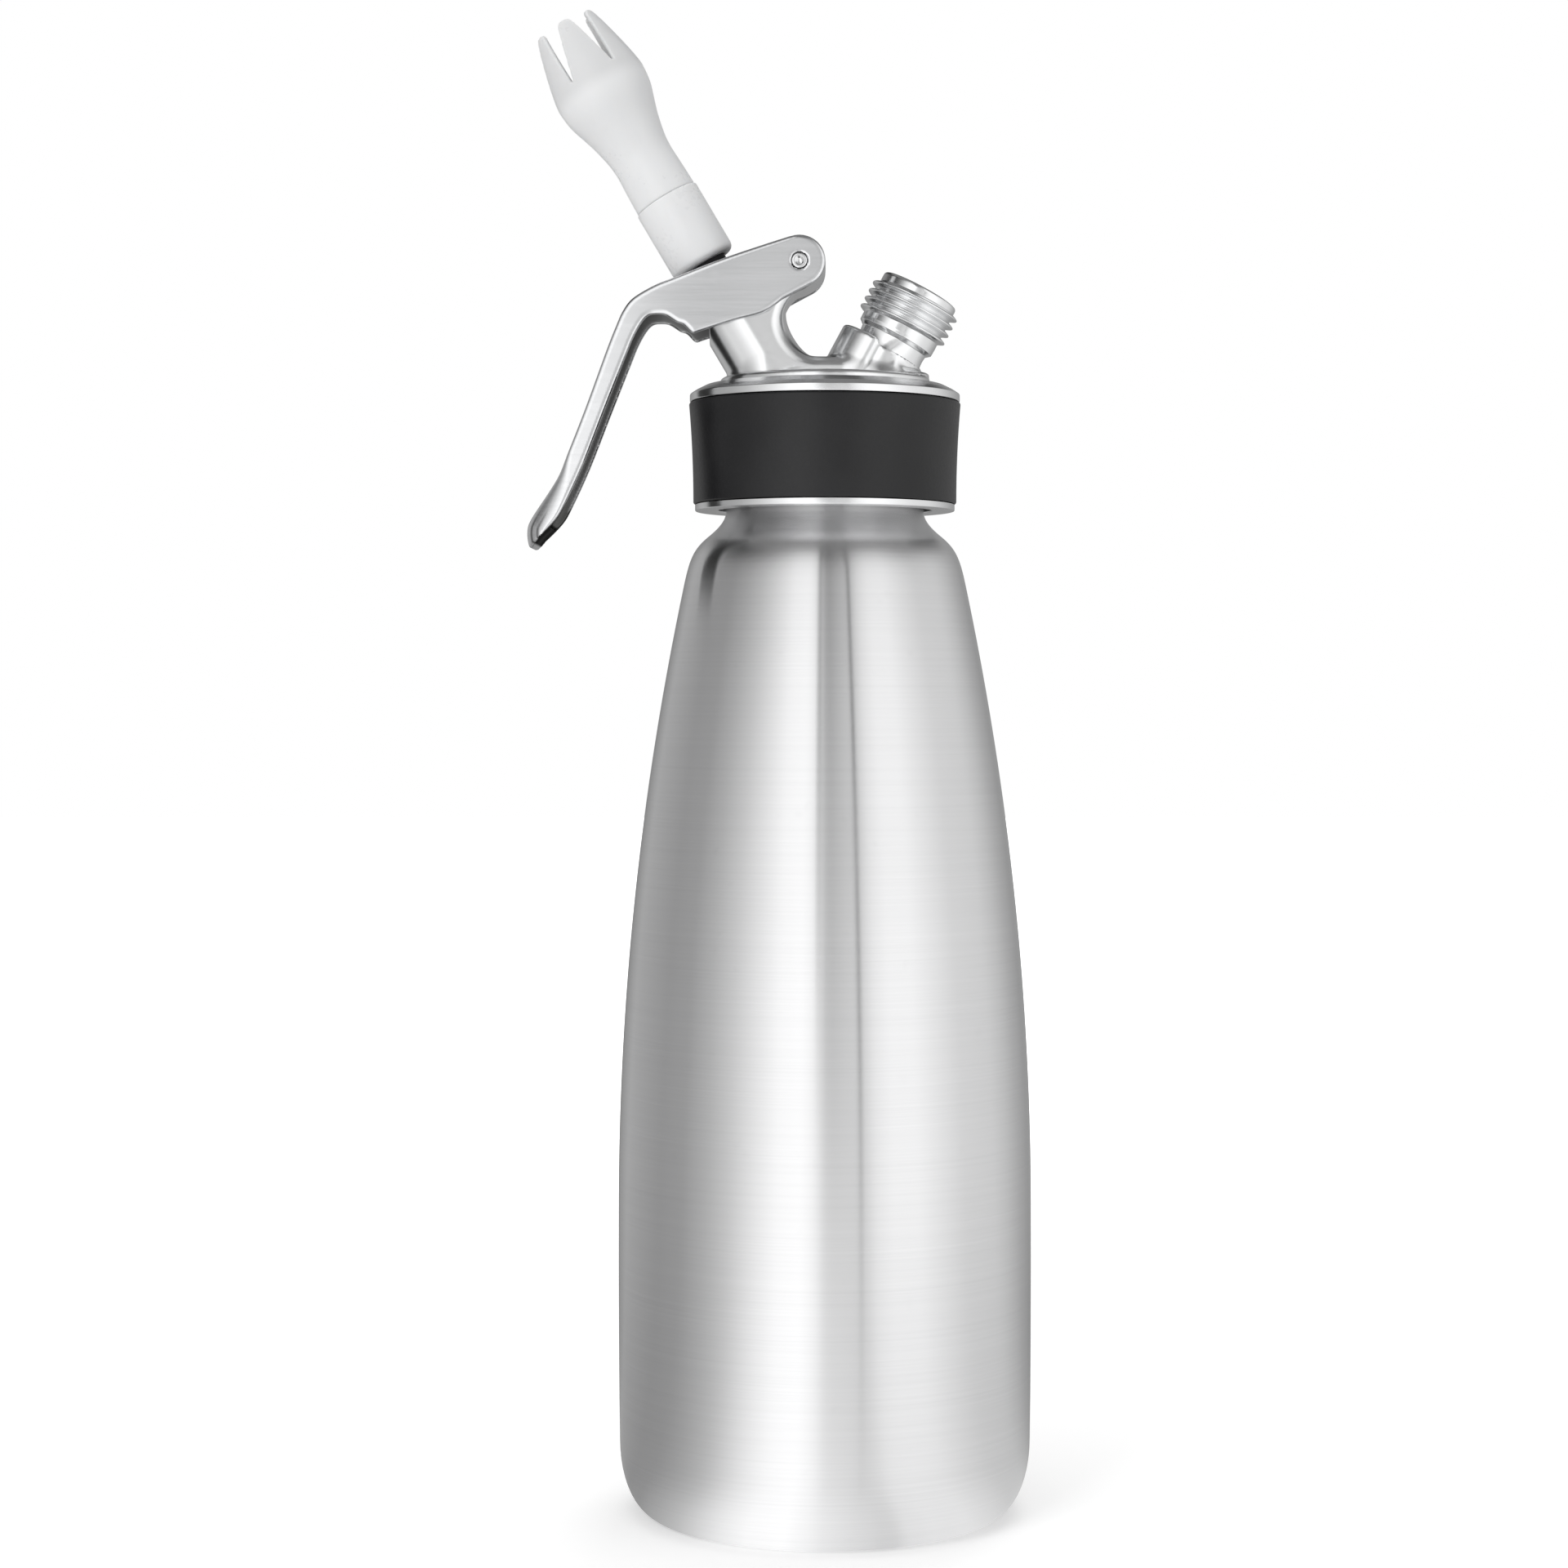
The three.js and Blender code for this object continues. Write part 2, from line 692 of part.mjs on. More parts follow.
function splinePoints(shares, steps) {
  const curve = new THREE.SplineCurve(
    shares.map(([x, z]) => new THREE.Vector2(-x * LEVER_REACH, z * LEVER_DROP)),
  );
  return curve.getPoints(steps).map((p) => [p.x, p.y]);
}

// The cross tie between the cheeks, just under their top edge
function bridgePoints() {
  const [first, second] = LEVER_TOP_SHARES.slice(0, 2).map(
    ([x, z]) => new THREE.Vector2(-x * LEVER_REACH, z * LEVER_DROP),
  );
  const near = first.clone().lerp(second, BRIDGE_START_SHARE);
  const far = second.clone().sub(first).setLength(BRIDGE_LENGTH).add(near);
  const top = offsetOutline([near.toArray(), far.toArray()], CHEEK_EDGE);
  return [...top, ...offsetOutline(top, LEVER_WEB_THICKNESS).reverse()];
}

// The lever in its own frame: the origin is the hinge pin's centre
function lever() {
  const top = splinePoints(LEVER_TOP_SHARES, LEVER_TOP_STEPS);
  const under = splinePoints(LEVER_UNDER_SHARES, LEVER_UNDER_STEPS);
  const end = arcPoints(0, 0, LEVER_END_RADIUS, -Math.PI * 0.38, Math.PI * 0.45, 10);
  const outline = [...top, ...under, ...end];
  const innerFace = CHEEK_FACE;
  const outerFace = CHEEK_FACE + CHEEK_THICKNESS;
  const nearCheek = solidOf(plate(outline, -outerFace, -innerFace, CHEEK_EDGE));
  const farCheek = solidOf(plate(outline, innerFace, outerFace, CHEEK_EDGE));
  const skinTop = top.filter(([x]) => -x / LEVER_REACH >= SKIN_START_SHARE);
  const skin = [...skinTop, ...offsetOutline(skinTop, LEVER_WEB_THICKNESS).reverse()];
  const halfSpan = innerFace + CHEEK_THICKNESS / 2;
  const web = solidOf(plate(skin, -halfSpan, halfSpan, 0));
  const bridge = solidOf(plate(bridgePoints(), -halfSpan, halfSpan, 0));
  const lugX = -TIP_FOOT_REACH + HINGE_REACH + LUG_DROP * Math.sin(VALVE_LEAN);
  const lugZ = TIP_FOOT_RISE - HINGE_RISE - LUG_DROP * Math.cos(VALVE_LEAN);
  const lugEnd = innerFace - LUG_LENGTH;
  const nearLug = solidOf(crossRod(LUG_RADIUS, lugX, lugZ, -halfSpan, -lugEnd, SMALL_STEPS));
  const farLug = solidOf(crossRod(LUG_RADIUS, lugX, lugZ, lugEnd, halfSpan, SMALL_STEPS));
  const pinHole = solidOf(
    crossRod(PIN_RADIUS + FIT_GAP, 0, 0, -outerFace - CUT_OVERRUN, outerFace + CUT_OVERRUN, SMALL_STEPS),
  );
  const made = nearCheek.add(farCheek).add(web).add(bridge).add(nearLug).add(farLug);
  return made.subtract(pinHole);
}

// A riveted pin with a dimple in each end
function hingePin() {
  const half = CHEEK_FACE + CHEEK_THICKNESS + PIN_PROUD;
  const profile = [
    [0, -half + PIN_DIMPLE_DEPTH],
    [PIN_DIMPLE_RADIUS, -half],
    [PIN_RADIUS - PIN_PROUD, -half],
    [PIN_RADIUS, -half + PIN_PROUD],
    [PIN_RADIUS, half - PIN_PROUD],
    [PIN_RADIUS - PIN_PROUD, half],
    [PIN_DIMPLE_RADIUS, half],
    [0, half - PIN_DIMPLE_DEPTH],
  ];
  return solidOf(turned(profile, SMALL_STEPS).rotateX(Math.PI / 2));
}

// Pieces on the valve axis: heights are measured up the axis from the tip collar's foot
function valveStem() {
  const top = -STEM_TOP_DROP;
  const shoulder = -SEAT_DROP;
  const low = shoulder - STEM_TAIL_LENGTH;
  const blindEnd = shoulder + STEM_TAIL_RADIUS;
  const body = solidOf(
    turned(
      [
        [0, low],
        [STEM_TAIL_RADIUS, low],
        [STEM_TAIL_RADIUS, shoulder],
        [STEM_RADIUS, shoulder],
        [STEM_RADIUS, top],
        [STEM_BORE, top],
        [STEM_BORE, blindEnd],
        [0, blindEnd],
      ],
      SMALL_STEPS,
    ),
  );
  const cross = solidOf(
    crossRod(
      STEM_PORT_RADIUS,
      0,
      shoulder + STEM_PORT_RISE,
      -STEM_RADIUS - CUT_OVERRUN,
      STEM_RADIUS + CUT_OVERRUN,
      SMALL_STEPS,
    ),
  );
  return body.subtract(cross);
}

function stemGuide() {
  const low = -WELL_FLOOR_DROP + FIT_GAP;
  const bore = STEM_RADIUS + FIT_GAP;
  const grooveLow = low + RING_RISE - RING_SECTION - FIT_GAP;
  const grooveHigh = low + RING_RISE + RING_SECTION + FIT_GAP;
  const grooveRadius = bore + 2 * RING_SECTION + FIT_GAP;
  return solidOf(
    turned(
      [
        [bore, low],
        [WELL_RADIUS - FIT_GAP, low],
        [WELL_RADIUS - FIT_GAP, -GUIDE_TOP_DROP],
        [bore, -GUIDE_TOP_DROP],
        [bore, grooveHigh],
        [grooveRadius, grooveHigh],
        [grooveRadius, grooveLow],
        [bore, grooveLow],
      ],
      SMALL_STEPS,
    ),
  );
}

function stemRing() {
  const centre = -WELL_FLOOR_DROP + FIT_GAP + RING_RISE;
  const middle = STEM_RADIUS + FIT_GAP + RING_SECTION;
  const section = arcPoints(middle, centre, RING_SECTION, 0, 2 * Math.PI, 8).slice(0, 8);
  return solidOf(turned(section, SMALL_STEPS));
}

function plungerSeal() {
  const top = -SEAT_DROP - FIT_GAP;
  const bore = STEM_TAIL_RADIUS + FIT_GAP;
  return solidOf(tube(bore, SEAL_RADIUS, top - SEAL_THICKNESS, top, MEDIUM_STEPS));
}

function plungerRetainer() {
  const top = -SEAT_DROP - 2 * FIT_GAP - SEAL_THICKNESS;
  const nut = solidOf(rod(RETAINER_RADIUS, top - RETAINER_THICKNESS, top, 6));
  const hole = solidOf(
    rod(
      STEM_TAIL_RADIUS + FIT_GAP,
      top - RETAINER_THICKNESS - CUT_OVERRUN,
      top + CUT_OVERRUN,
      SMALL_STEPS,
    ),
  );
  return nut.subtract(hole);
}

// The black sleeve that carries the tip and takes the lever's push on its flange
function stemAdapter() {
  const socket = STEM_RADIUS + FIT_GAP;
  const socketTop = -STEM_TOP_DROP + FIT_GAP;
  const body = turned(
    [
      [socket, -FLANGE_LOW_DROP],
      [FLANGE_RADIUS, -FLANGE_LOW_DROP],
      [FLANGE_RADIUS, -FLANGE_TOP_DROP],
      [ADAPTER_RADIUS, -FLANGE_TOP_DROP],
      [ADAPTER_RADIUS, ADAPTER_TOP],
      [ADAPTER_BORE, ADAPTER_TOP],
      [ADAPTER_BORE, socketTop],
      [socket, socketTop],
    ],
    SMALL_STEPS,
  );
  const thread = threadRidge({
    root: ADAPTER_RADIUS,
    crest: ADAPTER_RADIUS + TIP_CREST,
    pitch: TIP_PITCH,
    turns: TIP_TURNS,
    low: COLLAR_MOUTH_DEPTH + TIP_PITCH,
    rootWidth: TIP_ROOT_WIDTH,
    crestWidth: TIP_CREST_WIDTH,
    steps: SMALL_STEPS,
  });
  return solidOf(body).add(solidOf(thread));
}

// The spring's curls stand between the guide's top and the flange
function valveSpring() {
  const low = -GUIDE_TOP_DROP + FIT_GAP + SPRING_WIRE / 2;
  const high = -FLANGE_LOW_DROP - FIT_GAP - SPRING_WIRE / 2;
  const steps = SPRING_CURLS * CURL_STEPS;
  const positions = [];
  for (let i = 0; i <= steps; i++) {
    const angle = (2 * Math.PI * i) / CURL_STEPS;
    const height = low + ((high - low) * i) / steps;
    for (let j = 0; j < CURL_SIDES; j++) {
      const turn = (2 * Math.PI * j) / CURL_SIDES;
      const radius = SPRING_RADIUS + (SPRING_WIRE / 2) * Math.cos(turn);
      positions.push(
        radius * Math.cos(angle),
        radius * Math.sin(angle),
        height + (SPRING_WIRE / 2) * Math.sin(turn),
      );
    }
  }
  return solidOf(sweptRings(positions, CURL_SIDES, steps + 1));
}

function tipInsert() {
  const low = COLLAR_MOUTH_DEPTH + FIT_GAP;
  const root = ADAPTER_RADIUS + TIP_CREST + FIT_GAP;
  const body = tube(root, INSERT_RADIUS, low, low + INSERT_LENGTH, SMALL_STEPS);
  const thread = threadRidge({
    root,
    crest: root - TIP_CREST,
    pitch: TIP_PITCH,
    turns: TIP_TURNS,
    low: COLLAR_MOUTH_DEPTH + TIP_PITCH * 1.5,
    rootWidth: TIP_ROOT_WIDTH,
    crestWidth: TIP_CREST_WIDTH,
    steps: SMALL_STEPS,
  });
  return solidOf(body).add(solidOf(thread));
}

function tipCollar() {
  const socket = INSERT_RADIUS + FIT_GAP;
  const socketTop = COLLAR_MOUTH_DEPTH + INSERT_LENGTH + 2 * FIT_GAP;
  const top = COLLAR_LENGTH - FIT_GAP / 2;
  return solidOf(
    turned(
      [
        [socket, 0],
        [COLLAR_RADIUS - COLLAR_EDGE, 0],
        [COLLAR_RADIUS - COLLAR_EDGE * COLLAR_CORNER_SHARE, COLLAR_EDGE * COLLAR_CORNER_SHARE],
        [COLLAR_RADIUS, COLLAR_EDGE],
        [COLLAR_RADIUS, top],
        [TIP_BORE + TULIP_SPIGOT + FIT_GAP, top],
        [TIP_BORE + TULIP_SPIGOT + FIT_GAP, top - TULIP_SPIGOT],
        [TIP_BORE, top - TULIP_SPIGOT],
        [TIP_BORE, socketTop],
        [socket, socketTop],
      ],
      MEDIUM_STEPS,
    ),
  );
}

// The tulip with six slits that leave pointed tines
function tulipTip() {
  const foot = COLLAR_LENGTH + FIT_GAP / 2;
  const outer = TULIP_SHARES.map(([r, z]) => [r * TULIP_BULGE, foot + z * TULIP_LENGTH]);
  const inner = outer.map(([r, z]) => [r - TULIP_WALL, z]).slice(2);
  const profile = [
    [TIP_BORE, foot - TULIP_SPIGOT],
    [TIP_BORE + TULIP_SPIGOT, foot - TULIP_SPIGOT],
    [TIP_BORE + TULIP_SPIGOT, foot],
    ...outer,
    ...inner.reverse(),
    [TIP_BORE, foot + TULIP_SPIGOT],
  ];
  let tip = solidOf(turned(profile, TULIP_STEPS));
  const slitFoot = foot + TULIP_LENGTH - SLIT_LENGTH;
  const slitTop = foot + TULIP_LENGTH + CUT_OVERRUN;
  const half = (SLIT_MOUTH / 2) * ((slitTop - slitFoot) / SLIT_LENGTH);
  const wedge = [
    [-FIT_GAP, slitFoot],
    [FIT_GAP, slitFoot],
    [half, slitTop],
    [-half, slitTop],
  ];
  for (let i = 0; i < SLIT_COUNT; i++) {
    const angle = SLIT_TURN + (2 * Math.PI * i) / SLIT_COUNT;
    const slit = plate(wedge, -2 * TULIP_BULGE, 0, 0).rotateZ(angle);
    tip = tip.subtract(solidOf(slit));
  }
  return tip;
}

// Pieces on the port axis: heights are measured up the axis from the port's end face
function chargerPort() {
  const threadLow = -PORT_THREAD_LENGTH;
  const relief = threadLow - PORT_RELIEF;
  const body = solidOf(
    turned(
      [
        [PORT_PASSAGE, -PORT_LENGTH],
        [PORT_NECK_RADIUS, -PORT_LENGTH],
        [PORT_NECK_RADIUS, relief],
        [PORT_ROOT_RADIUS, threadLow],
        [PORT_ROOT_RADIUS, 0],
        [PORT_BORE, 0],
        [PORT_BORE, -PORT_BORE_DEPTH],
        [PORT_PASSAGE, -PORT_BORE_DEPTH],
      ],
      MEDIUM_STEPS,
    ),
  );
  const ridgeLow = threadLow + PORT_ROOT_WIDTH / 2;
  const thread = solidOf(
    threadRidge({
      root: PORT_ROOT_RADIUS,
      crest: PORT_CREST_RADIUS,
      pitch: PORT_PITCH,
      turns: PORT_TURNS,
      low: ridgeLow,
      rootWidth: PORT_ROOT_WIDTH,
      crestWidth: PORT_CREST_WIDTH,
      steps: MEDIUM_STEPS,
    }),
  );
  return body.add(thread);
}

function piercingPin() {
  const baseLow = -PORT_BORE_DEPTH + 2 * FIT_GAP + PIN_SEAL_THICKNESS;
  const baseTop = baseLow + PIN_BASE_THICKNESS;
  const needleTop = baseTop + NEEDLE_LENGTH;
  return solidOf(
    turned(
      [
        [NEEDLE_BORE, baseLow - PIN_STEM_LENGTH],
        [PIN_STEM_RADIUS, baseLow - PIN_STEM_LENGTH],
        [PIN_STEM_RADIUS, baseLow],
        [PORT_BORE - FIT_GAP, baseLow],
        [PORT_BORE - FIT_GAP, baseTop],
        [NEEDLE_RADIUS, baseTop],
        [NEEDLE_RADIUS, needleTop - NEEDLE_RADIUS],
        [NEEDLE_TIP_RADIUS, needleTop],
        [NEEDLE_BORE, needleTop],
      ],
      SMALL_STEPS,
    ),
  );
}

function pinSeal() {
  const low = -PORT_BORE_DEPTH + FIT_GAP;
  return solidOf(
    tube(
      PIN_STEM_RADIUS + FIT_GAP,
      PORT_BORE - FIT_GAP,
      low,
      low + PIN_SEAL_THICKNESS,
      SMALL_STEPS,
    ),
  );
}

function chargerSeal() {
  const low = -PORT_BORE_DEPTH + 3 * FIT_GAP + PIN_SEAL_THICKNESS + PIN_BASE_THICKNESS;
  return solidOf(
    tube(
      NEEDLE_RADIUS + FIT_GAP,
      PORT_BORE - FIT_GAP,
      low,
      low + CHARGER_SEAL_THICKNESS,
      SMALL_STEPS,
    ),
  );
}

// A rubber mushroom under the gas hole: gas lifts its rim, cream presses it shut
function gasCheckValve() {
  const top = SHELF_TOP - FIT_GAP;
  return solidOf(
    turned(
      [
        [0, top - CHECK_THICKNESS],
        [CHECK_RADIUS - CHECK_THICKNESS / 2, top - CHECK_THICKNESS],
        [CHECK_RADIUS, top],
        [CHECK_STEM_RADIUS, top],
        [CHECK_STEM_RADIUS, SHELF_TOP + CHECK_STEM_LENGTH],
        [0, SHELF_TOP + CHECK_STEM_LENGTH],
      ],
      SMALL_STEPS,
    ),
  );
}

function named(name, solid, material) {
  const mesh = new THREE.Mesh(geometryOf(solid), material);
  mesh.name = name;
  return mesh;
}

function groupAt(matrix, meshes) {
  const made = new THREE.Group();
  made.applyMatrix4(matrix);
  made.add(...meshes);
  return made;
}

const hingeFrame = new THREE.Matrix4().makeTranslation(-HINGE_REACH, 0, HINGE_HEIGHT);
const checkFrame = new THREE.Matrix4().makeTranslation(CHECK_REACH, 0, 0);

const group = new THREE.Group();
group.add(
  named("bottle", bottle(), brushedSteel),
  named("head_body", headBody(), satinSteel),
  named("grip_band", gripBand(), bandSilicone),
  named("head_gasket", headGasket(), gasketSilicone),
  groupAt(hingeFrame, [
    named("lever", lever(), satinSteel),
    named("hinge_pin", hingePin(), polishedSteel),
  ]),
  groupAt(valveFrame, [
    named("valve_stem", valveStem(), polishedSteel),
    named("stem_guide", stemGuide(), guidePlastic),
    named("stem_o_ring", stemRing(), sealRubber),
    named("plunger_seal", plungerSeal(), sealRubber),
    named("plunger_retainer", plungerRetainer(), polishedSteel),
    named("stem_adapter", stemAdapter(), adapterPlastic),
    named("valve_spring", valveSpring(), polishedSteel),
    named("tip_insert", tipInsert(), polishedSteel),
    named("tip_collar", tipCollar(), tipPlastic),
    named("tulip_tip", tulipTip(), tipPlastic),
  ]),
  groupAt(portFrame, [
    named("charger_port", chargerPort(), polishedSteel),
    named("piercing_pin", piercingPin(), polishedSteel),
    named("pin_seal", pinSeal(), sealRubber),
    named("charger_seal", chargerSeal(), sealRubber),
  ]),
  groupAt(checkFrame, [named("gas_check_valve", gasCheckValve(), sealRubber)]),
);

export default group;
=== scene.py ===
# %% [markdown]
# # A whipped cream dispenser
#
# The real object is a tall brushed steel bottle with a cast head screwed on it. A squeeze lever on
# the head pushes a sprung valve that carries a milky plastic tulip tip, and an open threaded port
# takes the gas charger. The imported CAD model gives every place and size, so it is loaded first and
# left as it is. Each visible piece is then built again round its CAD node with rounder forms,
# threads and finishes, and rides on the same body, so that the lever, valve and head still move.

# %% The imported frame
import math

import bmesh
import bpy
import numpy as np
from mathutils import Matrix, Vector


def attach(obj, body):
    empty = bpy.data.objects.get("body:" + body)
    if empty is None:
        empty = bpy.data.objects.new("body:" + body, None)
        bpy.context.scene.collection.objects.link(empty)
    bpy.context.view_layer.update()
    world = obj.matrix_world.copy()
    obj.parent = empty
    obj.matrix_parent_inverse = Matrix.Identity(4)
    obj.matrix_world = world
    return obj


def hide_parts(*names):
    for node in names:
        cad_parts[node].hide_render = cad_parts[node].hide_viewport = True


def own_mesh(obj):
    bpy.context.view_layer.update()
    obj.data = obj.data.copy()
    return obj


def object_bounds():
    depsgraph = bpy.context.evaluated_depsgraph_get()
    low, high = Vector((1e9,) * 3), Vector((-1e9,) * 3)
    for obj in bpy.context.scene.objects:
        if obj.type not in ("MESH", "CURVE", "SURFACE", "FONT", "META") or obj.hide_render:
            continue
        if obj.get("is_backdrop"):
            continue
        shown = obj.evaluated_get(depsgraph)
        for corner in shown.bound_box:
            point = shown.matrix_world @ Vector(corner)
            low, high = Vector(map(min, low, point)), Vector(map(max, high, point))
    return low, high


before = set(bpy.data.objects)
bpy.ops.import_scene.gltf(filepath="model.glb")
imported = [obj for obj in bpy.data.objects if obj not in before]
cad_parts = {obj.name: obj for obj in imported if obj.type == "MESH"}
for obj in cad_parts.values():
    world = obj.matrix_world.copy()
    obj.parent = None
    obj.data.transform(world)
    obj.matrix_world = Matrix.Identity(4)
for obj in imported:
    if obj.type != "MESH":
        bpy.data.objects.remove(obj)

import openvdb
from mathutils import Euler, Matrix, Vector

cad_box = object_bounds()
MM = 0.001
print("CAD box in mm:", [[round(v / MM, 1) for v in corner] for corner in cad_box])

# %% [markdown]
# ## The camera
#
# The photograph looks level at the dispenser from about three quarters of a metre, a little below
# the middle of the bottle. A camera could be tilted to bring the object into the frame, but then
# the bottle's sides would lean. A level camera with a small lens shift keeps them upright, as a
# studio photographer does.

# %% Camera at the photograph's viewing angle
IMAGE_SIDE = 1920
FOCAL_PIXELS = 3900
SENSOR = 36
AXIS_PIXEL = (1010, 846)

camera_data = bpy.data.cameras.new("studio_camera")
camera_data.sensor_width = SENSOR
camera_data.lens = SENSOR * FOCAL_PIXELS / IMAGE_SIDE
camera_data.shift_x = (IMAGE_SIDE / 2 - AXIS_PIXEL[0]) / IMAGE_SIDE
camera_data.shift_y = (AXIS_PIXEL[1] - IMAGE_SIDE / 2) / IMAGE_SIDE
camera = bpy.data.objects.new("studio_camera", camera_data)
camera.location = (0, -0.737, 0.1884)
camera.rotation_euler = Euler((math.pi / 2, 0, 0))
bpy.context.scene.collection.objects.link(camera)
bpy.context.scene.camera = camera
print("lens in mm:", round(camera_data.lens, 2))

# %% [markdown]
# ## A short way to write node trees
#
# Materials and Geometry Nodes are both trees of nodes. Built by hand each node takes four or five
# lines, which hides what the tree does. Small helpers keep it readable: one adds a node and fills
# its inputs with values or links, and the others do the same for the steps that come up often.

# %% Helpers for node trees
FLOAT = "NodeSocketFloat"
VECTOR = "NodeSocketVector"
GEOMETRY = "NodeSocketGeometry"


def fill(tree, node, inputs):
    """Sets each given input of a node to a value or links it."""
    for key, value in inputs.items():
        if isinstance(value, bpy.types.NodeSocket):
            tree.links.new(value, node.inputs[key])
        else:
            node.inputs[key].default_value = value


def add_node(tree, kind, inputs=None, **settings):
    """Adds a node, sets its properties, and sets or links its inputs."""
    made = tree.nodes.new(kind)
    for key, value in settings.items():
        setattr(made, key, value)
    fill(tree, made, inputs or {})
    return made


def calc(tree, operation, *values):
    """One step of arithmetic in a shader tree or a geometry tree."""
    inputs = dict(enumerate(values))
    return add_node(tree, "ShaderNodeMath", inputs, operation=operation).outputs[0]


def product(tree, first, *others):
    """Two or more values multiplied."""
    for other in others:
        first = calc(tree, "MULTIPLY", first, other)
    return first


def from_axis(tree, x, y):
    """The distance from the Z axis."""
    return calc(tree, "SQRT", calc(tree, "MULTIPLY_ADD", x, x, product(tree, y, y)))


def soft_step(tree, value, start, end):
    """A smooth 0 to 1 between two values, which may run either way."""
    ends = {"Value": value, "From Min": start, "From Max": end}
    return add_node(tree, "ShaderNodeMapRange", ends, interpolation_type="SMOOTHSTEP").outputs[0]


def noise(tree, where, scale, detail, roughness=0.5):
    """Noise on the given coordinates."""
    inputs = {"Vector": where, "Scale": scale, "Detail": detail, "Roughness": roughness}
    return add_node(tree, "ShaderNodeTexNoise", inputs).outputs[0]


def new_group(name, kind, inputs, outputs):
    """A node group with named sockets. Returns the tree, its inputs and its output node."""
    tree = bpy.data.node_groups.new(name, kind)
    for label, socket_type, default in inputs:
        socket = tree.interface.new_socket(label, in_out="INPUT", socket_type=socket_type)
        if default is not None:
            socket.default_value = default
    for label, socket_type in outputs:
        tree.interface.new_socket(label, in_out="OUTPUT", socket_type=socket_type)
    return tree, tree.nodes.new("NodeGroupInput").outputs, tree.nodes.new("NodeGroupOutput")


def surface_group(name, size, default, outputs):
    """A shader group that takes coordinates and one size."""
    inputs = [("Vector", VECTOR, None), (size, FLOAT, default)]
    tree, given, out = new_group(name, "ShaderNodeTree", inputs, [(label, FLOAT) for label in outputs])
    return tree, given["Vector"], given[size], out


print("helpers ready")

# %% [markdown]
# ## Brushed lines
#
# The steel of the bottle, the head and the lever was finished with an abrasive belt, which leaves
# fine parallel lines. An image of lines would do, but noise stretched in one direction needs no
# file and never repeats. The group mixes two widths of line and puts out a mask for the roughness
# and a height for the bump.

# %% Shader group for brushed lines
FINE_SHARE = 0.6
BROAD_SCALE = 0.17


def brushed_lines():
    """Noise on stretched coordinates, in a fine and a broad width."""
    tree, where, fineness, out = surface_group("brushed_lines", "Fineness", 1.0, ("Mask", "Height"))
    scaled = add_node(tree, "ShaderNodeVectorMath", {0: where, "Scale": fineness}, operation="SCALE")
    fine = noise(tree, scaled.outputs[0], 1.0, 3.0, 0.7)
    broad = noise(tree, scaled.outputs[0], BROAD_SCALE, 2.0)
    mask = calc(tree, "MULTIPLY_ADD", fine, FINE_SHARE, product(tree, broad, 1 - FINE_SHARE))
    fill(tree, out, {"Mask": mask, "Height": fine})
    return tree


BRUSHED_LINES = brushed_lines()
print("group:", BRUSHED_LINES.name)

# %% [markdown]
# ## Handling wear
#
# A dispenser is gripped, wiped and put away wet, so its gloss is never quite even. A clean, even
# roughness looks like plastic film. The group gives a soft cloudy mask of smudges and a sparse
# mask of small spots, and each material adds a little of both to its roughness and colour.

# %% Shader group for handling wear
SPOTS_PER_SMUDGE = 14.0


def handling_wear():
    """Cloudy smudges and sparse small spots."""
    tree, where, size, out = surface_group("handling_wear", "Size", 30.0, ("Smudges", "Spots"))
    clouds = noise(tree, where, size, 4.0)
    spotted = noise(tree, where, product(tree, size, SPOTS_PER_SMUDGE), 2.0)
    smudges = soft_step(tree, clouds, 0.35, 0.7)
    spots = soft_step(tree, spotted, 0.66, 0.76)
    fill(tree, out, {"Smudges": smudges, "Spots": spots})
    return tree


HANDLING_WEAR = handling_wear()
print("group:", HANDLING_WEAR.name)

# %% [markdown]
# ## Moulded grain
#
# Silicone and moulded plastic copy the fine spark-eroded grain of their mould. It could be
# modelled, but the grain is a few hundredths of a millimetre, so a bump from fine noise is right.

# %% Shader group for moulded grain
PIT_SCALE = 0.6
PIT_DEPTH = 0.5


def moulded_grain():
    """A fine even grain with a few deeper pits."""
    tree, where, size, out = surface_group("moulded_grain", "Grain", 2500.0, ("Mask", "Height"))
    grain = noise(tree, where, size, 2.0)
    pits = {"Vector": where, "Scale": product(tree, size, PIT_SCALE)}
    cells = add_node(tree, "ShaderNodeTexVoronoi", pits)
    height = calc(tree, "MULTIPLY_ADD", cells.outputs["Distance"], PIT_DEPTH, grain)
    fill(tree, out, {"Mask": grain, "Height": height})
    return tree


MOULDED_GRAIN = moulded_grain()
print("group:", MOULDED_GRAIN.name)

# %% [markdown]
# ## Steel finishes
#
# All the steel is metallic with a pale grey colour, and the finishes differ in how rough it is and
# which way the lines run. The bottle was brushed round its axis on a lathe, so its highlights are
# sharp from side to side and drawn out up and down. The shader's anisotropy does that better than
# a bump alone: its default tangent runs round Z, and a quarter turn makes the blur vertical. The
# lever is brushed along its cheeks, and the head casting was blasted first, so it is softer.

# %% Steel material
MIX_COLOURS = (6, 7)
MIX_RESULT = 2
# Painted shade for the inside of the lever's channel: a near-black colour and a dark specular tint.
INSIDE_SHADE_GREY = (0.11, 0.11, 0.108)
INSIDE_SHADE_TINT = (0.15, 0.15, 0.15)
INSIDE_ROUGHER = 0.25
QUARTER_TURN = 0.25
SMUDGE_SHARE = 0.4
SPOT_SHARE = 0.5


def group_node(tree, group, inputs):
    """Places a shader group in a material and returns its outputs."""
    return add_node(tree, "ShaderNodeGroup", inputs, node_tree=group).outputs


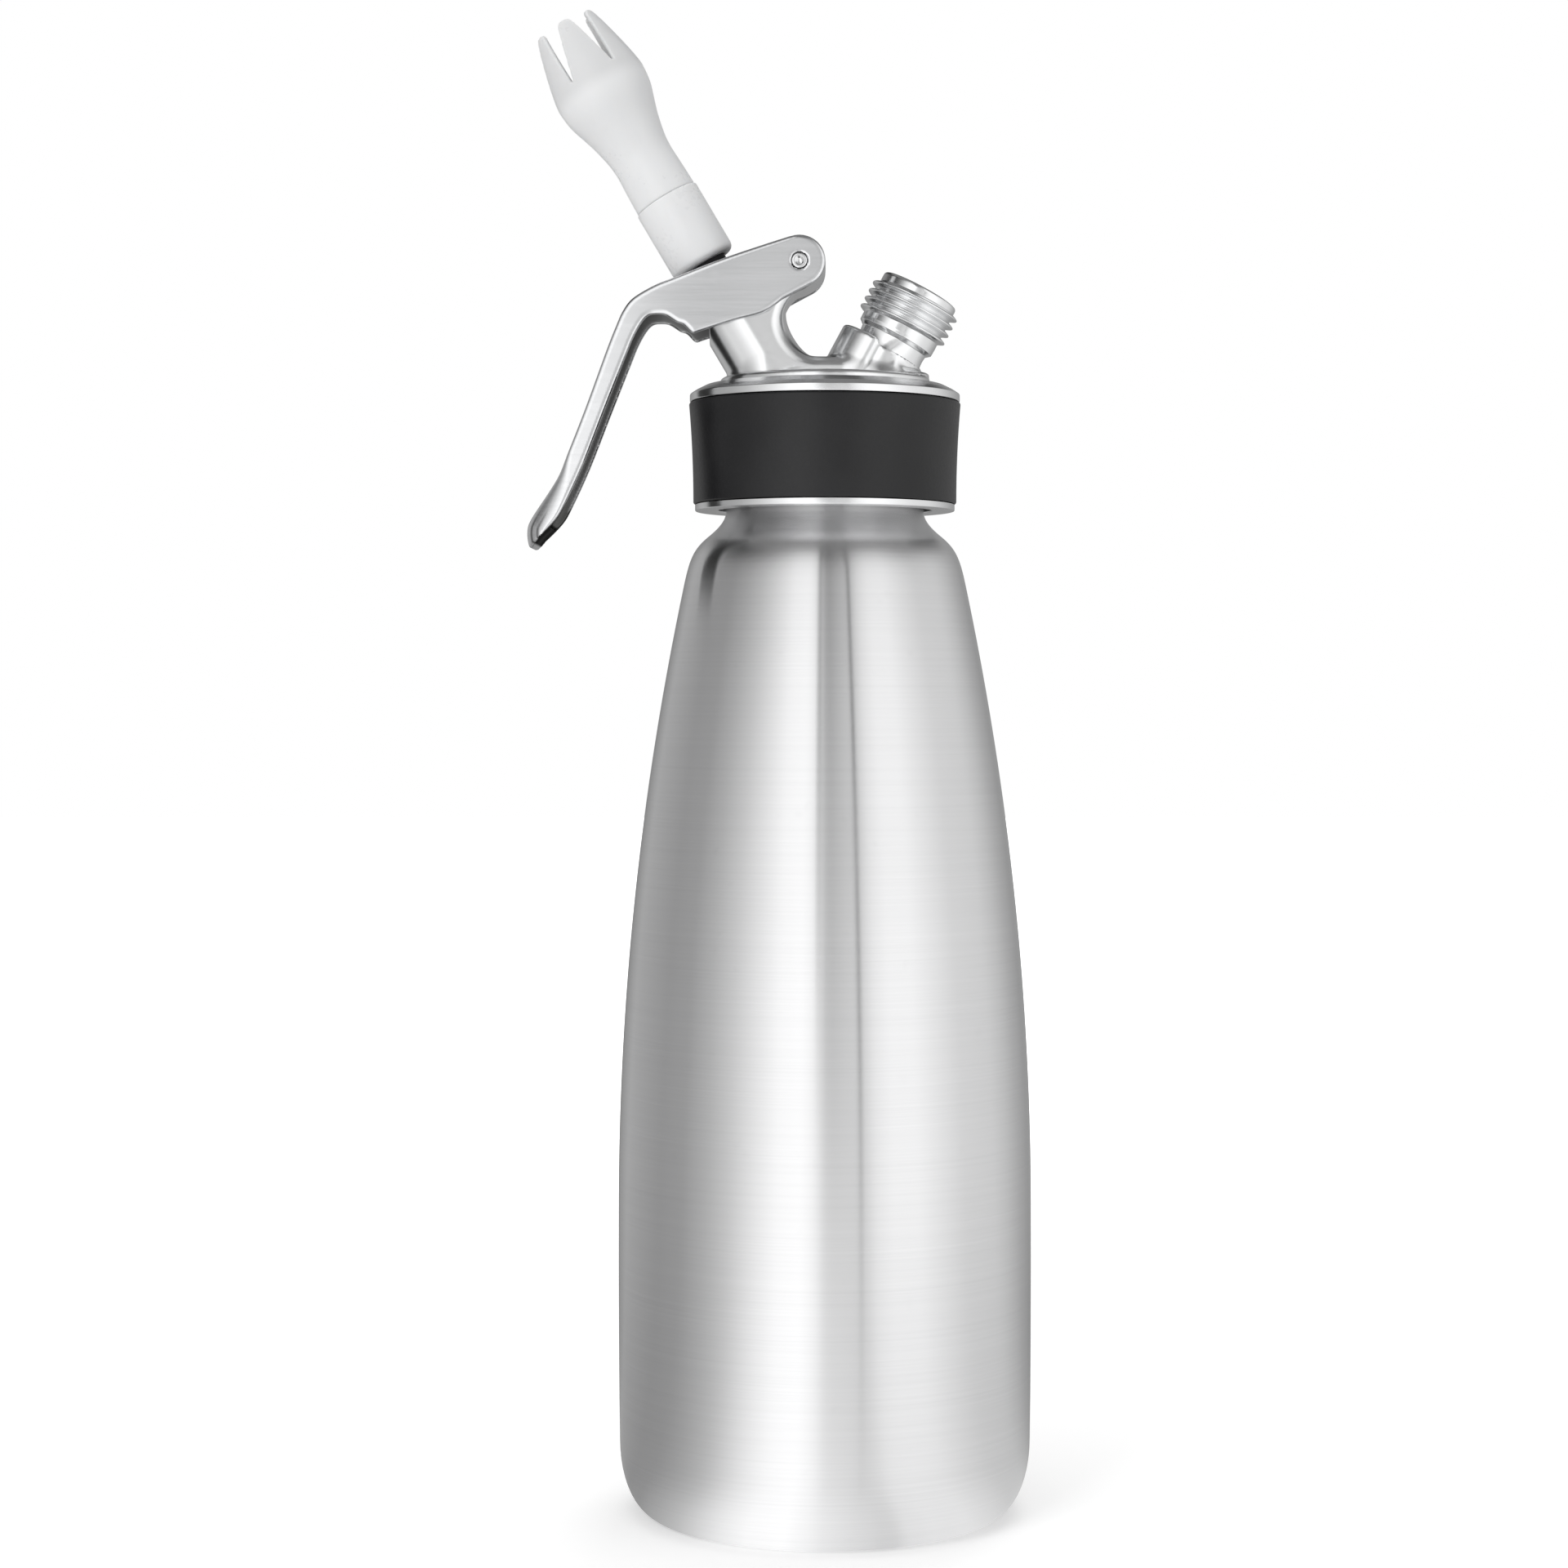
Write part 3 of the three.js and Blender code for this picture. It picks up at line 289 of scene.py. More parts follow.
def new_material(name):
    """An empty node material with its Principled shader and its Object coordinates."""
    material = bpy.data.materials.new(name)
    material.use_nodes = True
    tree = material.node_tree
    where = tree.nodes.new("ShaderNodeTexCoord").outputs["Object"]
    return material, tree, tree.nodes["Principled BSDF"], where


def blend_colours(tree, mask, *colours):
    """A colour between two, by a mask. Each may be a plain colour or a link."""
    inputs = {"Factor": mask}
    for index, colour in zip(MIX_COLOURS, colours):
        inputs[index] = (*colour, 1) if isinstance(colour, tuple) else colour
    return add_node(tree, "ShaderNodeMix", inputs, data_type="RGBA").outputs[MIX_RESULT]


def bumped(tree, height, distance):
    """A normal that is bent by a height."""
    inputs = {"Height": height, "Distance": distance, "Strength": 1.0}
    return add_node(tree, "ShaderNodeBump", inputs).outputs[0]


def steel(
    name, grey, rough, spread, stretch, turn=(0, 0, 0), bump=0.0, blur=0.0, streaks=0.02, shade_and_dull_inside=False
):
    """Brushed or polished steel with stretched lines, handling wear, and painted shade on the lever
    channel's inside.
    """
    material, tree, shader, where = new_material(name)
    mapping = {"Vector": where, "Rotation": turn, "Scale": stretch}
    placed = add_node(tree, "ShaderNodeMapping", mapping)
    lines = group_node(tree, BRUSHED_LINES, {"Vector": placed.outputs[0]})
    wear = group_node(tree, HANDLING_WEAR, {"Vector": where, "Size": 22.0})
    low = tuple((1 - streaks) * v for v in grey)
    high = tuple((1 + streaks) * v for v in grey)
    colour = blend_colours(tree, lines["Mask"], low, high)
    rough = calc(tree, "MULTIPLY_ADD", lines["Mask"], spread, rough - spread / 2)
    rough = calc(tree, "MULTIPLY_ADD", wear["Smudges"], spread * SMUDGE_SHARE, rough)
    rough = calc(tree, "MULTIPLY_ADD", wear["Spots"], spread * SPOT_SHARE, rough)
    # The channel's inside gets painted shade, a near-black colour and a dark specular tint, and also a
    # rougher surface.
    if shade_and_dull_inside:
        mark = add_node(tree, "ShaderNodeAttribute", attribute_name="inside").outputs["Fac"]
        colour = blend_colours(tree, mark, colour, INSIDE_SHADE_GREY)
        rough = calc(tree, "MULTIPLY_ADD", mark, INSIDE_ROUGHER, rough)
        fill(tree, shader, {"Specular Tint": blend_colours(tree, mark, (1, 1, 1), INSIDE_SHADE_TINT)})
    fill(tree, shader, {"Base Color": colour, "Roughness": rough, "Metallic": 1.0})
    fill(tree, shader, {"Anisotropic": blur, "Anisotropic Rotation": QUARTER_TURN})
    fill(tree, shader, {"Normal": bumped(tree, lines["Height"], bump)})
    return material


BRIGHT = (0.86, 0.865, 0.87)
EVEN = (60, 60, 60)
BOTTLE_STEEL = steel(
    "bottle_steel", (0.77, 0.77, 0.775), 0.2, 0.05, (15, 15, 2600), bump=0.000006, blur=1.0, streaks=0.08
)
LEVER_STEEL = steel(
    "lever_steel",
    (0.76, 0.765, 0.775),
    0.17,
    0.05,
    (45, 45, 1700),
    turn=(0, math.radians(14), 0),
    bump=0.000008,
    blur=0.88,
    streaks=0.16,
    shade_and_dull_inside=True,
)
HEAD_STEEL = steel("head_steel", BRIGHT, 0.2, 0.08, (300, 300, 900), bump=0.000003, streaks=0.05)
POLISHED_STEEL = steel("polished_steel", BRIGHT, 0.13, 0.02, EVEN)
THREAD_STEEL = steel("thread_steel", BRIGHT, 0.17, 0.03, EVEN)
print("steels:", [m.name for m in bpy.data.materials if "steel" in m.name])

# %% [markdown]
# ## Silicone, rubber and plastics
#
# The grip band is black silicone with a dull sheen, the tip is milky plastic that lets a little
# light through, and the sleeve under it is black nylon. One function covers them all. The tip gets
# some subsurface scattering with a short radius, because its wall is only a millimetre or so. Its
# upper part, round the slits, where light goes through the wall, gets a greyer colour: painted shade
# of the dark hollow seen through it.

# %% Polymer material
VALVE_DEGREES = 30.6
TIP_FOOT = (-0.0282, 0.0, 0.2878)
TIP_AXIS = (-math.sin(math.radians(VALVE_DEGREES)), 0.0, math.cos(math.radians(VALVE_DEGREES)))
# Where the tip's painted shade starts and where it is full, along the valve's axis in metres.
INNER_SHADE_FROM = 0.0445
INNER_SHADE_TO = 0.0485
GRAIN_SPREAD = 0.12
SMUDGE_SPREAD = 0.06


def polymer(name, colour, rough, grain, bump, dust=0.0, milky=0.0, shine=0.5, inner_shade=None):
    """Moulded silicone, rubber or plastic with grain, smudges, a little dust, and on the tip a painted
    shade.
    """
    material, tree, shader, where = new_material(name)
    skin = group_node(tree, MOULDED_GRAIN, {"Vector": where, "Grain": grain})
    smudges = group_node(tree, HANDLING_WEAR, {"Vector": where, "Size": 45.0})["Smudges"]
    dusty = tuple(v + dust * (1 - v) for v in colour)
    colour = blend_colours(tree, smudges, colour, dusty)
    # The tip's upper part gets a greyer colour: painted shade of the dark hollow seen through the wall.
    if inner_shade:
        above = add_node(tree, "ShaderNodeVectorMath", {0: where, 1: TIP_FOOT}, operation="SUBTRACT")
        ends = {0: above.outputs[0], 1: TIP_AXIS}
        along = add_node(tree, "ShaderNodeVectorMath", ends, operation="DOT_PRODUCT").outputs["Value"]
        colour = blend_colours(tree, soft_step(tree, along, INNER_SHADE_FROM, INNER_SHADE_TO), colour, inner_shade)
    rough = calc(tree, "MULTIPLY_ADD", skin["Mask"], GRAIN_SPREAD, rough - GRAIN_SPREAD / 2)
    rough = calc(tree, "MULTIPLY_ADD", smudges, SMUDGE_SPREAD, rough)
    fill(tree, shader, {"Base Color": colour, "Roughness": rough, "Specular IOR Level": shine})
    fill(tree, shader, {"Normal": bumped(tree, skin["Height"], bump), "Subsurface Weight": milky})
    fill(tree, shader, {"Subsurface Radius": (1.0, 0.95, 0.9), "Subsurface Scale": 0.002})
    return material


BAND_SILICONE = polymer(
    "band_silicone", (0.006, 0.006, 0.007), 0.35, 1400, 0.00002, dust=0.006, shine=0.42
)
TIP_PLASTIC = polymer(
    "tip_plastic", (0.79, 0.795, 0.8), 0.28, 900, 0.000002, milky=0.5, inner_shade=(0.68, 0.685, 0.69)
)
ADAPTER_PLASTIC = polymer(
    "adapter_plastic", (0.004, 0.004, 0.005), 0.4, 1600, 0.00001, dust=0.003, shine=0.3
)
GUIDE_PLASTIC = polymer("guide_plastic", (0.82, 0.82, 0.8), 0.45, 1200, 0.00001, dust=0.05)
SEAL_RUBBER = polymer("seal_rubber", (0.02, 0.02, 0.021), 0.7, 1800, 0.00002, dust=0.02)
GASKET_SILICONE = polymer("gasket_silicone", (0.37, 0.045, 0.03), 0.5, 1400, 0.00001, dust=0.02)
print("polymers ready")

# %% [markdown]
# ## The stage: floor, world, light tent and lamps
#
# Metal shows its surroundings, so the surroundings matter as much as the material. The photograph
# was made in a white tent with grey gaps: the bottle shows bright bands, grey edges, one broad grey
# panel and a thin dark line where that panel ends. A few area lamps would give hard-edged streaks.
# A ring-shaped wall round the scene with a grey scale that changes with the direction gives soft
# bands at any height, and only reflections see it. Panel and line fade near the bottle's foot. The
# camera sees a plain white world and floor, and the floor keeps the object's shadow.

# %% Grey scale of the light tent
TENT_STOPS = (
    (-180, 0.3), (-164, 0.26), (-139, 0.47), (-124, 0.44), (-100, 0.38), (-82, 0.42), (-66, 0.58),
    (-52, 0.78), (-38, 1.04), (-25, 1.28), (-13, 1.34), (-5, 1.2), (-1, 1.1), (5, 1.02), (12, 0.93),
    (18, 0.87), (22, 0.89), (27, 1.08), (36, 1.22), (50, 1.22), (64, 1.06), (80, 0.88), (104, 0.8),
    (118, 0.66), (132, 0.5), (150, 0.36), (180, 0.3),
)
TENT_PEAK = 1.34
FAR_FROM = 0.1
FAR_TO = 1.75
PANEL_LEFT = -2.0
PANEL_RIGHT = 19.1
PANEL_SOFT = 3.0
PANEL_FADE = (-0.066, 1.27)
PANEL_SHADE = 0.46
LINE_SOFT = 0.4
GAP_HALF = 0.75
GAP_SHADE = 0.92
FLOOR_MIDDLE = -10.0
FLOOR_ASIDE = (22.0, 50.0)
FLOOR_NEAR = (0.25, 0.05)
FLOOR_SHADE = 0.16


def dimmed(tree, value, mask, share):
    """A value made darker by a share where a mask is 1."""
    return product(tree, value, calc(tree, "MULTIPLY_ADD", mask, -share, 1.0))


def split(tree, vector):
    """The three parts of a vector."""
    return add_node(tree, "ShaderNodeSeparateXYZ", {0: vector}).outputs


def grey_ramp(tree, angle):
    """The grey of the stops for an angle in radians."""
    share = calc(tree, "MULTIPLY_ADD", angle, 1 / (2 * math.pi), 0.5)
    ramp = add_node(tree, "ShaderNodeValToRGB", {"Fac": share})
    stops = ramp.color_ramp.elements
    for index, (degrees, grey) in enumerate(TENT_STOPS):
        place = degrees / 360 + 0.5
        stop = stops[index] if index < 2 else stops.new(place)
        stop.position = place
        level = grey / TENT_PEAK
        stop.color = (level, level, level, 1)
    return product(tree, ramp.outputs[0], TENT_PEAK)


def tent_scale():
    """A grey value for each direction round the object, from Object coordinates."""
    inputs = [("Vector", VECTOR, None)]
    tree, given, out = new_group("tent_scale", "ShaderNodeTree", inputs, [("Grey", FLOAT)])
    x, y, z = split(tree, given["Vector"])
    angle = calc(tree, "ARCTAN2", x, product(tree, y, -1.0))
    degrees = product(tree, angle, 180 / math.pi)
    grey = grey_ramp(tree, angle)
    reach = calc(tree, "ADD", from_axis(tree, x, y), calc(tree, "MAXIMUM", z, 0.0))
    ends = {"Value": reach, "From Min": FAR_FROM, "From Max": FAR_TO}
    far = add_node(tree, "ShaderNodeMapRange", ends).outputs[0]
    begun = soft_step(tree, degrees, PANEL_LEFT - PANEL_SOFT, PANEL_LEFT + PANEL_SOFT)
    ended = soft_step(tree, degrees, PANEL_RIGHT + LINE_SOFT, PANEL_RIGHT - LINE_SOFT)
    fading = calc(tree, "MINIMUM", calc(tree, "MULTIPLY_ADD", degrees, *PANEL_FADE), 1.0)
    grey = dimmed(tree, grey, product(tree, begun, ended, fading, far), PANEL_SHADE)
    beside = calc(tree, "ABSOLUTE", calc(tree, "SUBTRACT", degrees, PANEL_RIGHT))
    gap = soft_step(tree, beside, GAP_HALF + LINE_SOFT, GAP_HALF)
    grey = dimmed(tree, grey, product(tree, gap, far), GAP_SHADE)
    aside = calc(tree, "ABSOLUTE", calc(tree, "SUBTRACT", degrees, FLOOR_MIDDLE))
    near = product(tree, soft_step(tree, aside, *FLOOR_ASIDE), soft_step(tree, far, *FLOOR_NEAR))
    fill(tree, out, {"Grey": dimmed(tree, grey, near, FLOOR_SHADE)})
    return tree


TENT_SCALE = tent_scale()
print("tent stops:", len(TENT_STOPS))

# %% World and stage materials
FLAG_LEFT = -0.108
FLAG_RIGHT = -0.052
FLAG_LOW = 0.25
FLAG_SOFT_LEFT = 0.01
FLAG_SOFT_RIGHT = 0.005
FLAG_SOFT_LOW = 0.04
FLAG_SHADE = 0.55
UPPER_FROM = 0.6
UPPER_TO = 1.3
UPPER_CONTRAST = 1.5
UPPER_SHADE = 0.6
ROOF_GREY = 0.22
WORLD_LIGHT = 0.6


def glow_material(name):
    """An empty material for the stage: its tree, its output and Object coordinates."""
    material, tree, shader, where = new_material(name)
    tree.nodes.remove(shader)
    return material, tree, tree.nodes["Material Output"], where


def glow(tree, strength):
    """White light of a given strength."""
    return add_node(tree, "ShaderNodeEmission", {"Color": (1, 1, 1, 1), "Strength": strength}).outputs[0]


def tent_material():
    """The wall of the light tent: a narrow flag in front, and deeper contrast near the top."""
    material, tree, out, where = glow_material("tent_wall")
    grey = group_node(tree, TENT_SCALE, {"Vector": where})["Grey"]
    x, y, z = split(tree, where)
    begun = soft_step(tree, x, FLAG_LEFT - FLAG_SOFT_LEFT, FLAG_LEFT)
    ended = soft_step(tree, x, FLAG_RIGHT + FLAG_SOFT_RIGHT, FLAG_RIGHT - FLAG_SOFT_RIGHT)
    above = soft_step(tree, z, FLAG_LOW, FLAG_LOW + FLAG_SOFT_LOW)
    in_front = calc(tree, "LESS_THAN", y, 0.0)
    grey = dimmed(tree, grey, product(tree, begun, ended, above, in_front), FLAG_SHADE)
    upper = soft_step(tree, z, UPPER_FROM, UPPER_TO)
    deeper = calc(tree, "POWER", grey, calc(tree, "MULTIPLY_ADD", upper, UPPER_CONTRAST, 1.0))
    fill(tree, out, {"Surface": glow(tree, dimmed(tree, deeper, upper, UPPER_SHADE))})
    return material


def floor_material():
    """White to the camera with the object's shadow, and the tent's grey scale to reflections."""
    material, tree, out, where = glow_material("stage_floor")
    rays = tree.nodes.new("ShaderNodeLightPath").outputs
    grey = group_node(tree, TENT_SCALE, {"Vector": where})["Grey"]
    away = add_node(tree, "ShaderNodeVectorMath", {0: where}, operation="LENGTH").outputs["Value"]
    ends = {"Value": away, "From Min": 0.3, "From Max": 0.9, "To Min": 0.3, "To Max": 1.0}
    far = add_node(tree, "ShaderNodeMapRange", ends).outputs[0]
    lit = glow(tree, product(tree, rays["Is Camera Ray"], far))
    paper = add_node(tree, "ShaderNodeBsdfDiffuse", {"Color": (0.8, 0.8, 0.8, 1)}).outputs[0]
    direct = add_node(tree, "ShaderNodeAddShader", {0: lit, 1: paper}).outputs[0]
    mirror = calc(tree, "ADD", rays["Is Glossy Ray"], rays["Is Transmission Ray"])
    choices = {0: calc(tree, "MINIMUM", mirror, 1.0), 1: direct, 2: glow(tree, grey)}
    fill(tree, out, {"Surface": add_node(tree, "ShaderNodeMixShader", choices).outputs[0]})
    return material


def roof_material():
    """The roof of the tent, a plain darker grey."""
    material, tree, out, _ = glow_material("tent_roof")
    fill(tree, out, {"Surface": glow(tree, ROOF_GREY)})
    return material


def white_world():
    """White where it is seen or mirrored, and softer where it only lights the object."""
    world = bpy.data.worlds.new("studio_white")
    world.use_nodes = True
    tree = world.node_tree
    rays = tree.nodes.new("ShaderNodeLightPath").outputs
    seen = calc(tree, "ADD", rays["Is Camera Ray"], rays["Is Glossy Ray"])
    seen = calc(tree, "MINIMUM", calc(tree, "ADD", seen, rays["Is Transmission Ray"]), 1.0)
    strength = calc(tree, "MULTIPLY_ADD", seen, 1 - WORLD_LIGHT, WORLD_LIGHT)
    fill(tree, tree.nodes["Background"], {"Color": (1, 1, 1, 1), "Strength": strength})
    bpy.context.scene.world = world


white_world()
print("world:", bpy.context.scene.world.name)

# %% Floor, tent wall and ceiling
FLOOR_HALF = 4.0
FLOOR_DROP = 0.0001
TENT_RADIUS = 1.2
TENT_TOP = 1.6
TENT_SIDES = 96


def stage_mesh(name, points, faces, material):
    """A mesh that belongs to the studio and not to the object."""
    mesh = bpy.data.meshes.new(name)
    mesh.from_pydata(points, [], faces)
    mesh.materials.append(material)
    made = bpy.data.objects.new(name, mesh)
    bpy.context.scene.collection.objects.link(made)
    made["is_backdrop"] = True
    return made


def tent_ring(height):
    """The corners of the tent at one height."""
    angles = [2 * math.pi * index / TENT_SIDES for index in range(TENT_SIDES)]
    return [(TENT_RADIUS * math.cos(a), TENT_RADIUS * math.sin(a), height) for a in angles]


def tent_part(name, points, faces, material):
    """A part of the tent, which only reflections see."""
    made = stage_mesh(name, points, faces, material)
    made.visible_camera = False
    made.visible_diffuse = False
    made.visible_shadow = False


around = ((-1, -1), (1, -1), (1, 1), (-1, 1))
floor_points = [(x * FLOOR_HALF, y * FLOOR_HALF, -FLOOR_DROP) for x, y in around]
stage_mesh("stage_floor", floor_points, [(0, 1, 2, 3)], floor_material())
wall_faces = []
for index in range(TENT_SIDES):
    after = (index + 1) % TENT_SIDES
    wall_faces.append((index, after, TENT_SIDES + after, TENT_SIDES + index))
tent_part("light_tent", tent_ring(0.0) + tent_ring(TENT_TOP), wall_faces, tent_material())
tent_part("tent_roof", tent_ring(TENT_TOP), [tuple(range(TENT_SIDES))], roof_material())
print("tent radius in m:", TENT_RADIUS)

# %% Soft lamps
def soft_lamp(name, place, target, size, power):
    """A square area lamp that points at a target and is not mirrored in the steel."""
    data = bpy.data.lights.new(name, "AREA")
    data.shape = "SQUARE"
    data.size = size
    data.energy = power
    lamp = bpy.data.objects.new(name, data)
    lamp.location = place
    lamp.rotation_euler = (Vector(target) - Vector(place)).to_track_quat("-Z", "Y").to_euler()
    lamp.visible_glossy = False
    lamp.visible_camera = False
    bpy.context.scene.collection.objects.link(lamp)


OBJECT_MIDDLE = (0, 0, 0.2)
soft_lamp("key_lamp", (-0.55, -0.85, 0.6), OBJECT_MIDDLE, 0.5, 4.5)
soft_lamp("top_lamp", (0.0, 0.1, 1.2), OBJECT_MIDDLE, 0.9, 3.5)
soft_lamp("back_lamp", (0.3, 0.9, 0.7), OBJECT_MIDDLE, 0.7, 3.0)
print("lamps:", [light.name for light in bpy.data.lights])

# %% [markdown]
# ## Places and axes
#
# Most pieces of the head stand on two leaning axes: the valve's, which leans to the left under the
# tip, and the port's, which leans to the right. Working along each axis keeps the numbers plain. A
# matrix then takes a mesh from its axis to its place in the object.

# %% Axes of the valve, the port and the hinge
VALVE_LEAN = math.radians(VALVE_DEGREES)
PORT_LEAN = math.radians(28.2)
VALVE_FOOT = Vector((-28.2, 0, 287.8))
PORT_END = Vector((22.2, 0, 281.0))
HINGE = Vector((-5.8, 0, 286.6))

upright = Matrix.Identity(4)
valve_axis = Matrix.Translation(VALVE_FOOT) @ Matrix.Rotation(-VALVE_LEAN, 4, "Y")
port_axis = Matrix.Translation(PORT_END) @ Matrix.Rotation(PORT_LEAN, 4, "Y")
hinge_axis = Matrix.Translation(HINGE) @ Matrix.Rotation(math.pi / 2, 4, "X")
print("tip points to:", [round(v, 1) for v in valve_axis @ Vector((0, 0, 63))])

# %% [markdown]
# ## Finishing a piece
#
# Every piece ends the same way. Its doubles are merged, its faces are turned outwards, its mesh is
# put in place in metres, and its object stays at the origin. Flat and round faces meet in a sharp
# line, so smooth shading is broken where two faces meet at more than a set angle.

# %% From a mesh in millimetres to a finished piece
def plain_mesh(thing):
    """The mesh of an object with its modifiers applied. The object is removed."""
    mesh = bpy.data.meshes.new_from_object(thing.evaluated_get(bpy.context.evaluated_depsgraph_get()))
    bpy.data.objects.remove(thing)
    return mesh


def run_tree(tree, name, seed, values):
    """Runs a Geometry Nodes tree on a seed mesh and returns the plain mesh."""
    holder = bpy.data.objects.new(name, seed)
    bpy.context.scene.collection.objects.link(holder)
    modifier = holder.modifiers.new(name, "NODES")
    modifier.node_group = tree
    for item in tree.interface.items_tree:
        if item.in_out == "INPUT" and item.name in values:
            modifier[item.identifier] = values[item.name]
    return plain_mesh(holder)


def finish_piece(name, mesh, place, material, body, node, sharp=40):
    """Cleans a mesh, places it in metres, ties it to its body and hides its CAD node."""
    shape = bmesh.new()
    shape.from_mesh(mesh)
    bmesh.ops.remove_doubles(shape, verts=shape.verts, dist=0.001)
    bmesh.ops.recalc_face_normals(shape, faces=shape.faces)
    open_edges = sum(1 for edge in shape.edges if len(edge.link_faces) != 2)
    shape.to_mesh(mesh)
    shape.free()
    mesh.transform(Matrix.Scale(MM, 4) @ place)
    mesh.name = name
    mesh.materials.clear()
    mesh.materials.append(material)
    mesh.shade_smooth()
    mesh.set_sharp_from_angle(angle=math.radians(sharp))
    piece = bpy.data.objects.new(name, mesh)
    bpy.context.scene.collection.objects.link(piece)
    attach(piece, body)
    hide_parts(node)
    triangles = sum(len(face.vertices) - 2 for face in mesh.polygons)
    print(f"{name}: {triangles} triangles, {open_edges} open edges")
    return piece


print("finish_piece ready")

# %% [markdown]
# ## Turned pieces
#
# The bottle, the rims, the port, the collar and the pins are all turned or spun: one outline
# swept round an axis. The Screw modifier can do that, but it can't cut a thread. A Geometry Nodes
# tree sweeps the outline round a tiny circle and then lifts the points of one plain stretch into a
# thread ridge. Its inputs are the sizes a machinist would ask for.

# %% Geometry Nodes tree for turned pieces
RAIL = 0.5
SAME_RADIUS = 0.01
THREAD_SIZES = ("Thread Root", "Pitch", "Depth", "Thread Low", "Turns", "Root Width", "Crest Width", "Ease")


def shaped(tree, kind, inputs, **settings):
    """Adds a geometry node and returns its first output."""
    return add_node(tree, kind, inputs, **settings).outputs[0]


def vector(tree, x, y, z):
    """A vector from three values."""
    return add_node(tree, "ShaderNodeCombineXYZ", {"X": x, "Y": y, "Z": z}).outputs[0]


def point_parts(tree):
    """The coordinates of each point."""
    return split(tree, tree.nodes.new("GeometryNodeInputPosition").outputs[0])


def swept(tree, rail, section, caps):
    """Sweeps a section along a rail."""
    curves = {"Curve": rail, "Profile Curve": section, "Fill Caps": caps}
    return shaped(tree, "GeometryNodeCurveToMesh", curves)


def put_out(tree, out, mesh, material):
    """Puts a mesh out of the tree with its material."""
    mesh = shaped(tree, "GeometryNodeRealizeInstances", {"Geometry": mesh})
    mesh = shaped(tree, "GeometryNodeSetMaterial", {"Geometry": mesh, "Material": material})
    fill(tree, out, {0: mesh})


def turned_piece_tree():
    """Outline in X and Z, swept round Z, with an optional screw thread."""
    inputs = [("Geometry", GEOMETRY, None), ("Steps", "NodeSocketInt", 96)]
    inputs += [(label, FLOAT, 1.0) for label in THREAD_SIZES]
    inputs.append(("Material", "NodeSocketMaterial", None))
    tree, size, out = new_group("turned_piece", "GeometryNodeTree", inputs, [("Geometry", GEOMETRY)])
    outline = shaped(tree, "GeometryNodeMeshToCurve", {"Mesh": size["Geometry"]})
    x, _, z = point_parts(tree)
    laid = vector(tree, calc(tree, "SUBTRACT", x, RAIL), product(tree, z, -1.0), 0.0)
    section = shaped(tree, "GeometryNodeSetPosition", {"Geometry": outline, "Position": laid})
    circle = {"Resolution": size["Steps"], "Radius": RAIL}
    rail = shaped(tree, "GeometryNodeCurvePrimitiveCircle", circle)
    rail = shaped(tree, "GeometryNodeSetCurveNormal", {"Curve": rail}, mode="Z_UP")
    mesh = swept(tree, rail, section, False)
    mesh = shaped(tree, "GeometryNodeMergeByDistance", {"Geometry": mesh, "Distance": 0.001})
    put_out(tree, out, thread_ridge(tree, size, mesh), size["Material"])
    return tree


def thread_ridge(tree, size, mesh):
    """Lifts the points that stand on the thread's root into a ridge that winds up the axis."""
    x, y, z = point_parts(tree)
    turn = calc(tree, "FRACT", product(tree, calc(tree, "ARCTAN2", y, x), 1 / (2 * math.pi)))
    rise = calc(tree, "DIVIDE", calc(tree, "SUBTRACT", z, size["Thread Low"]), size["Pitch"])
    phase = calc(tree, "SUBTRACT", rise, turn)
    ridge = calc(tree, "ROUND", phase)
    away = product(tree, calc(tree, "ABSOLUTE", calc(tree, "SUBTRACT", phase, ridge)), size["Pitch"])
    widths = [product(tree, size[label], 0.5) for label in ("Root Width", "Crest Width")]
    flank = soft_step(tree, away, *widths)
    wound = calc(tree, "ADD", ridge, turn)
    left = calc(tree, "MINIMUM", wound, calc(tree, "SUBTRACT", size["Turns"], wound))
    fade = soft_step(tree, left, 0.0, size["Ease"])
    off_root = calc(tree, "SUBTRACT", from_axis(tree, x, y), size["Thread Root"])
    on_root = calc(tree, "LESS_THAN", calc(tree, "ABSOLUTE", off_root), SAME_RADIUS)
    flat = {0: vector(tree, x, y, 0.0)}
    outward = add_node(tree, "ShaderNodeVectorMath", flat, operation="NORMALIZE").outputs[0]
    lift = {0: outward, "Scale": product(tree, flank, fade, size["Depth"])}
    offset = add_node(tree, "ShaderNodeVectorMath", lift, operation="SCALE").outputs[0]
    moved = {"Geometry": mesh, "Selection": on_root, "Offset": offset}
    return shaped(tree, "GeometryNodeSetPosition", moved)


TURNED_PIECE = turned_piece_tree()
print("tree:", TURNED_PIECE.name, "with", len(TURNED_PIECE.nodes), "nodes")

# %% [markdown]
# ## Outlines with rounded corners
#
# No machined or pressed edge is truly sharp, and the thin light line on each edge is what makes
# steel look real. So an outline is written as corners with a radius each, and each corner becomes
# a small arc. The stretch that carries a thread is cut into fine rows for the ridge.

# %% Helpers for outlines
ARC_STEPS = 5
THREAD_ROWS = 14


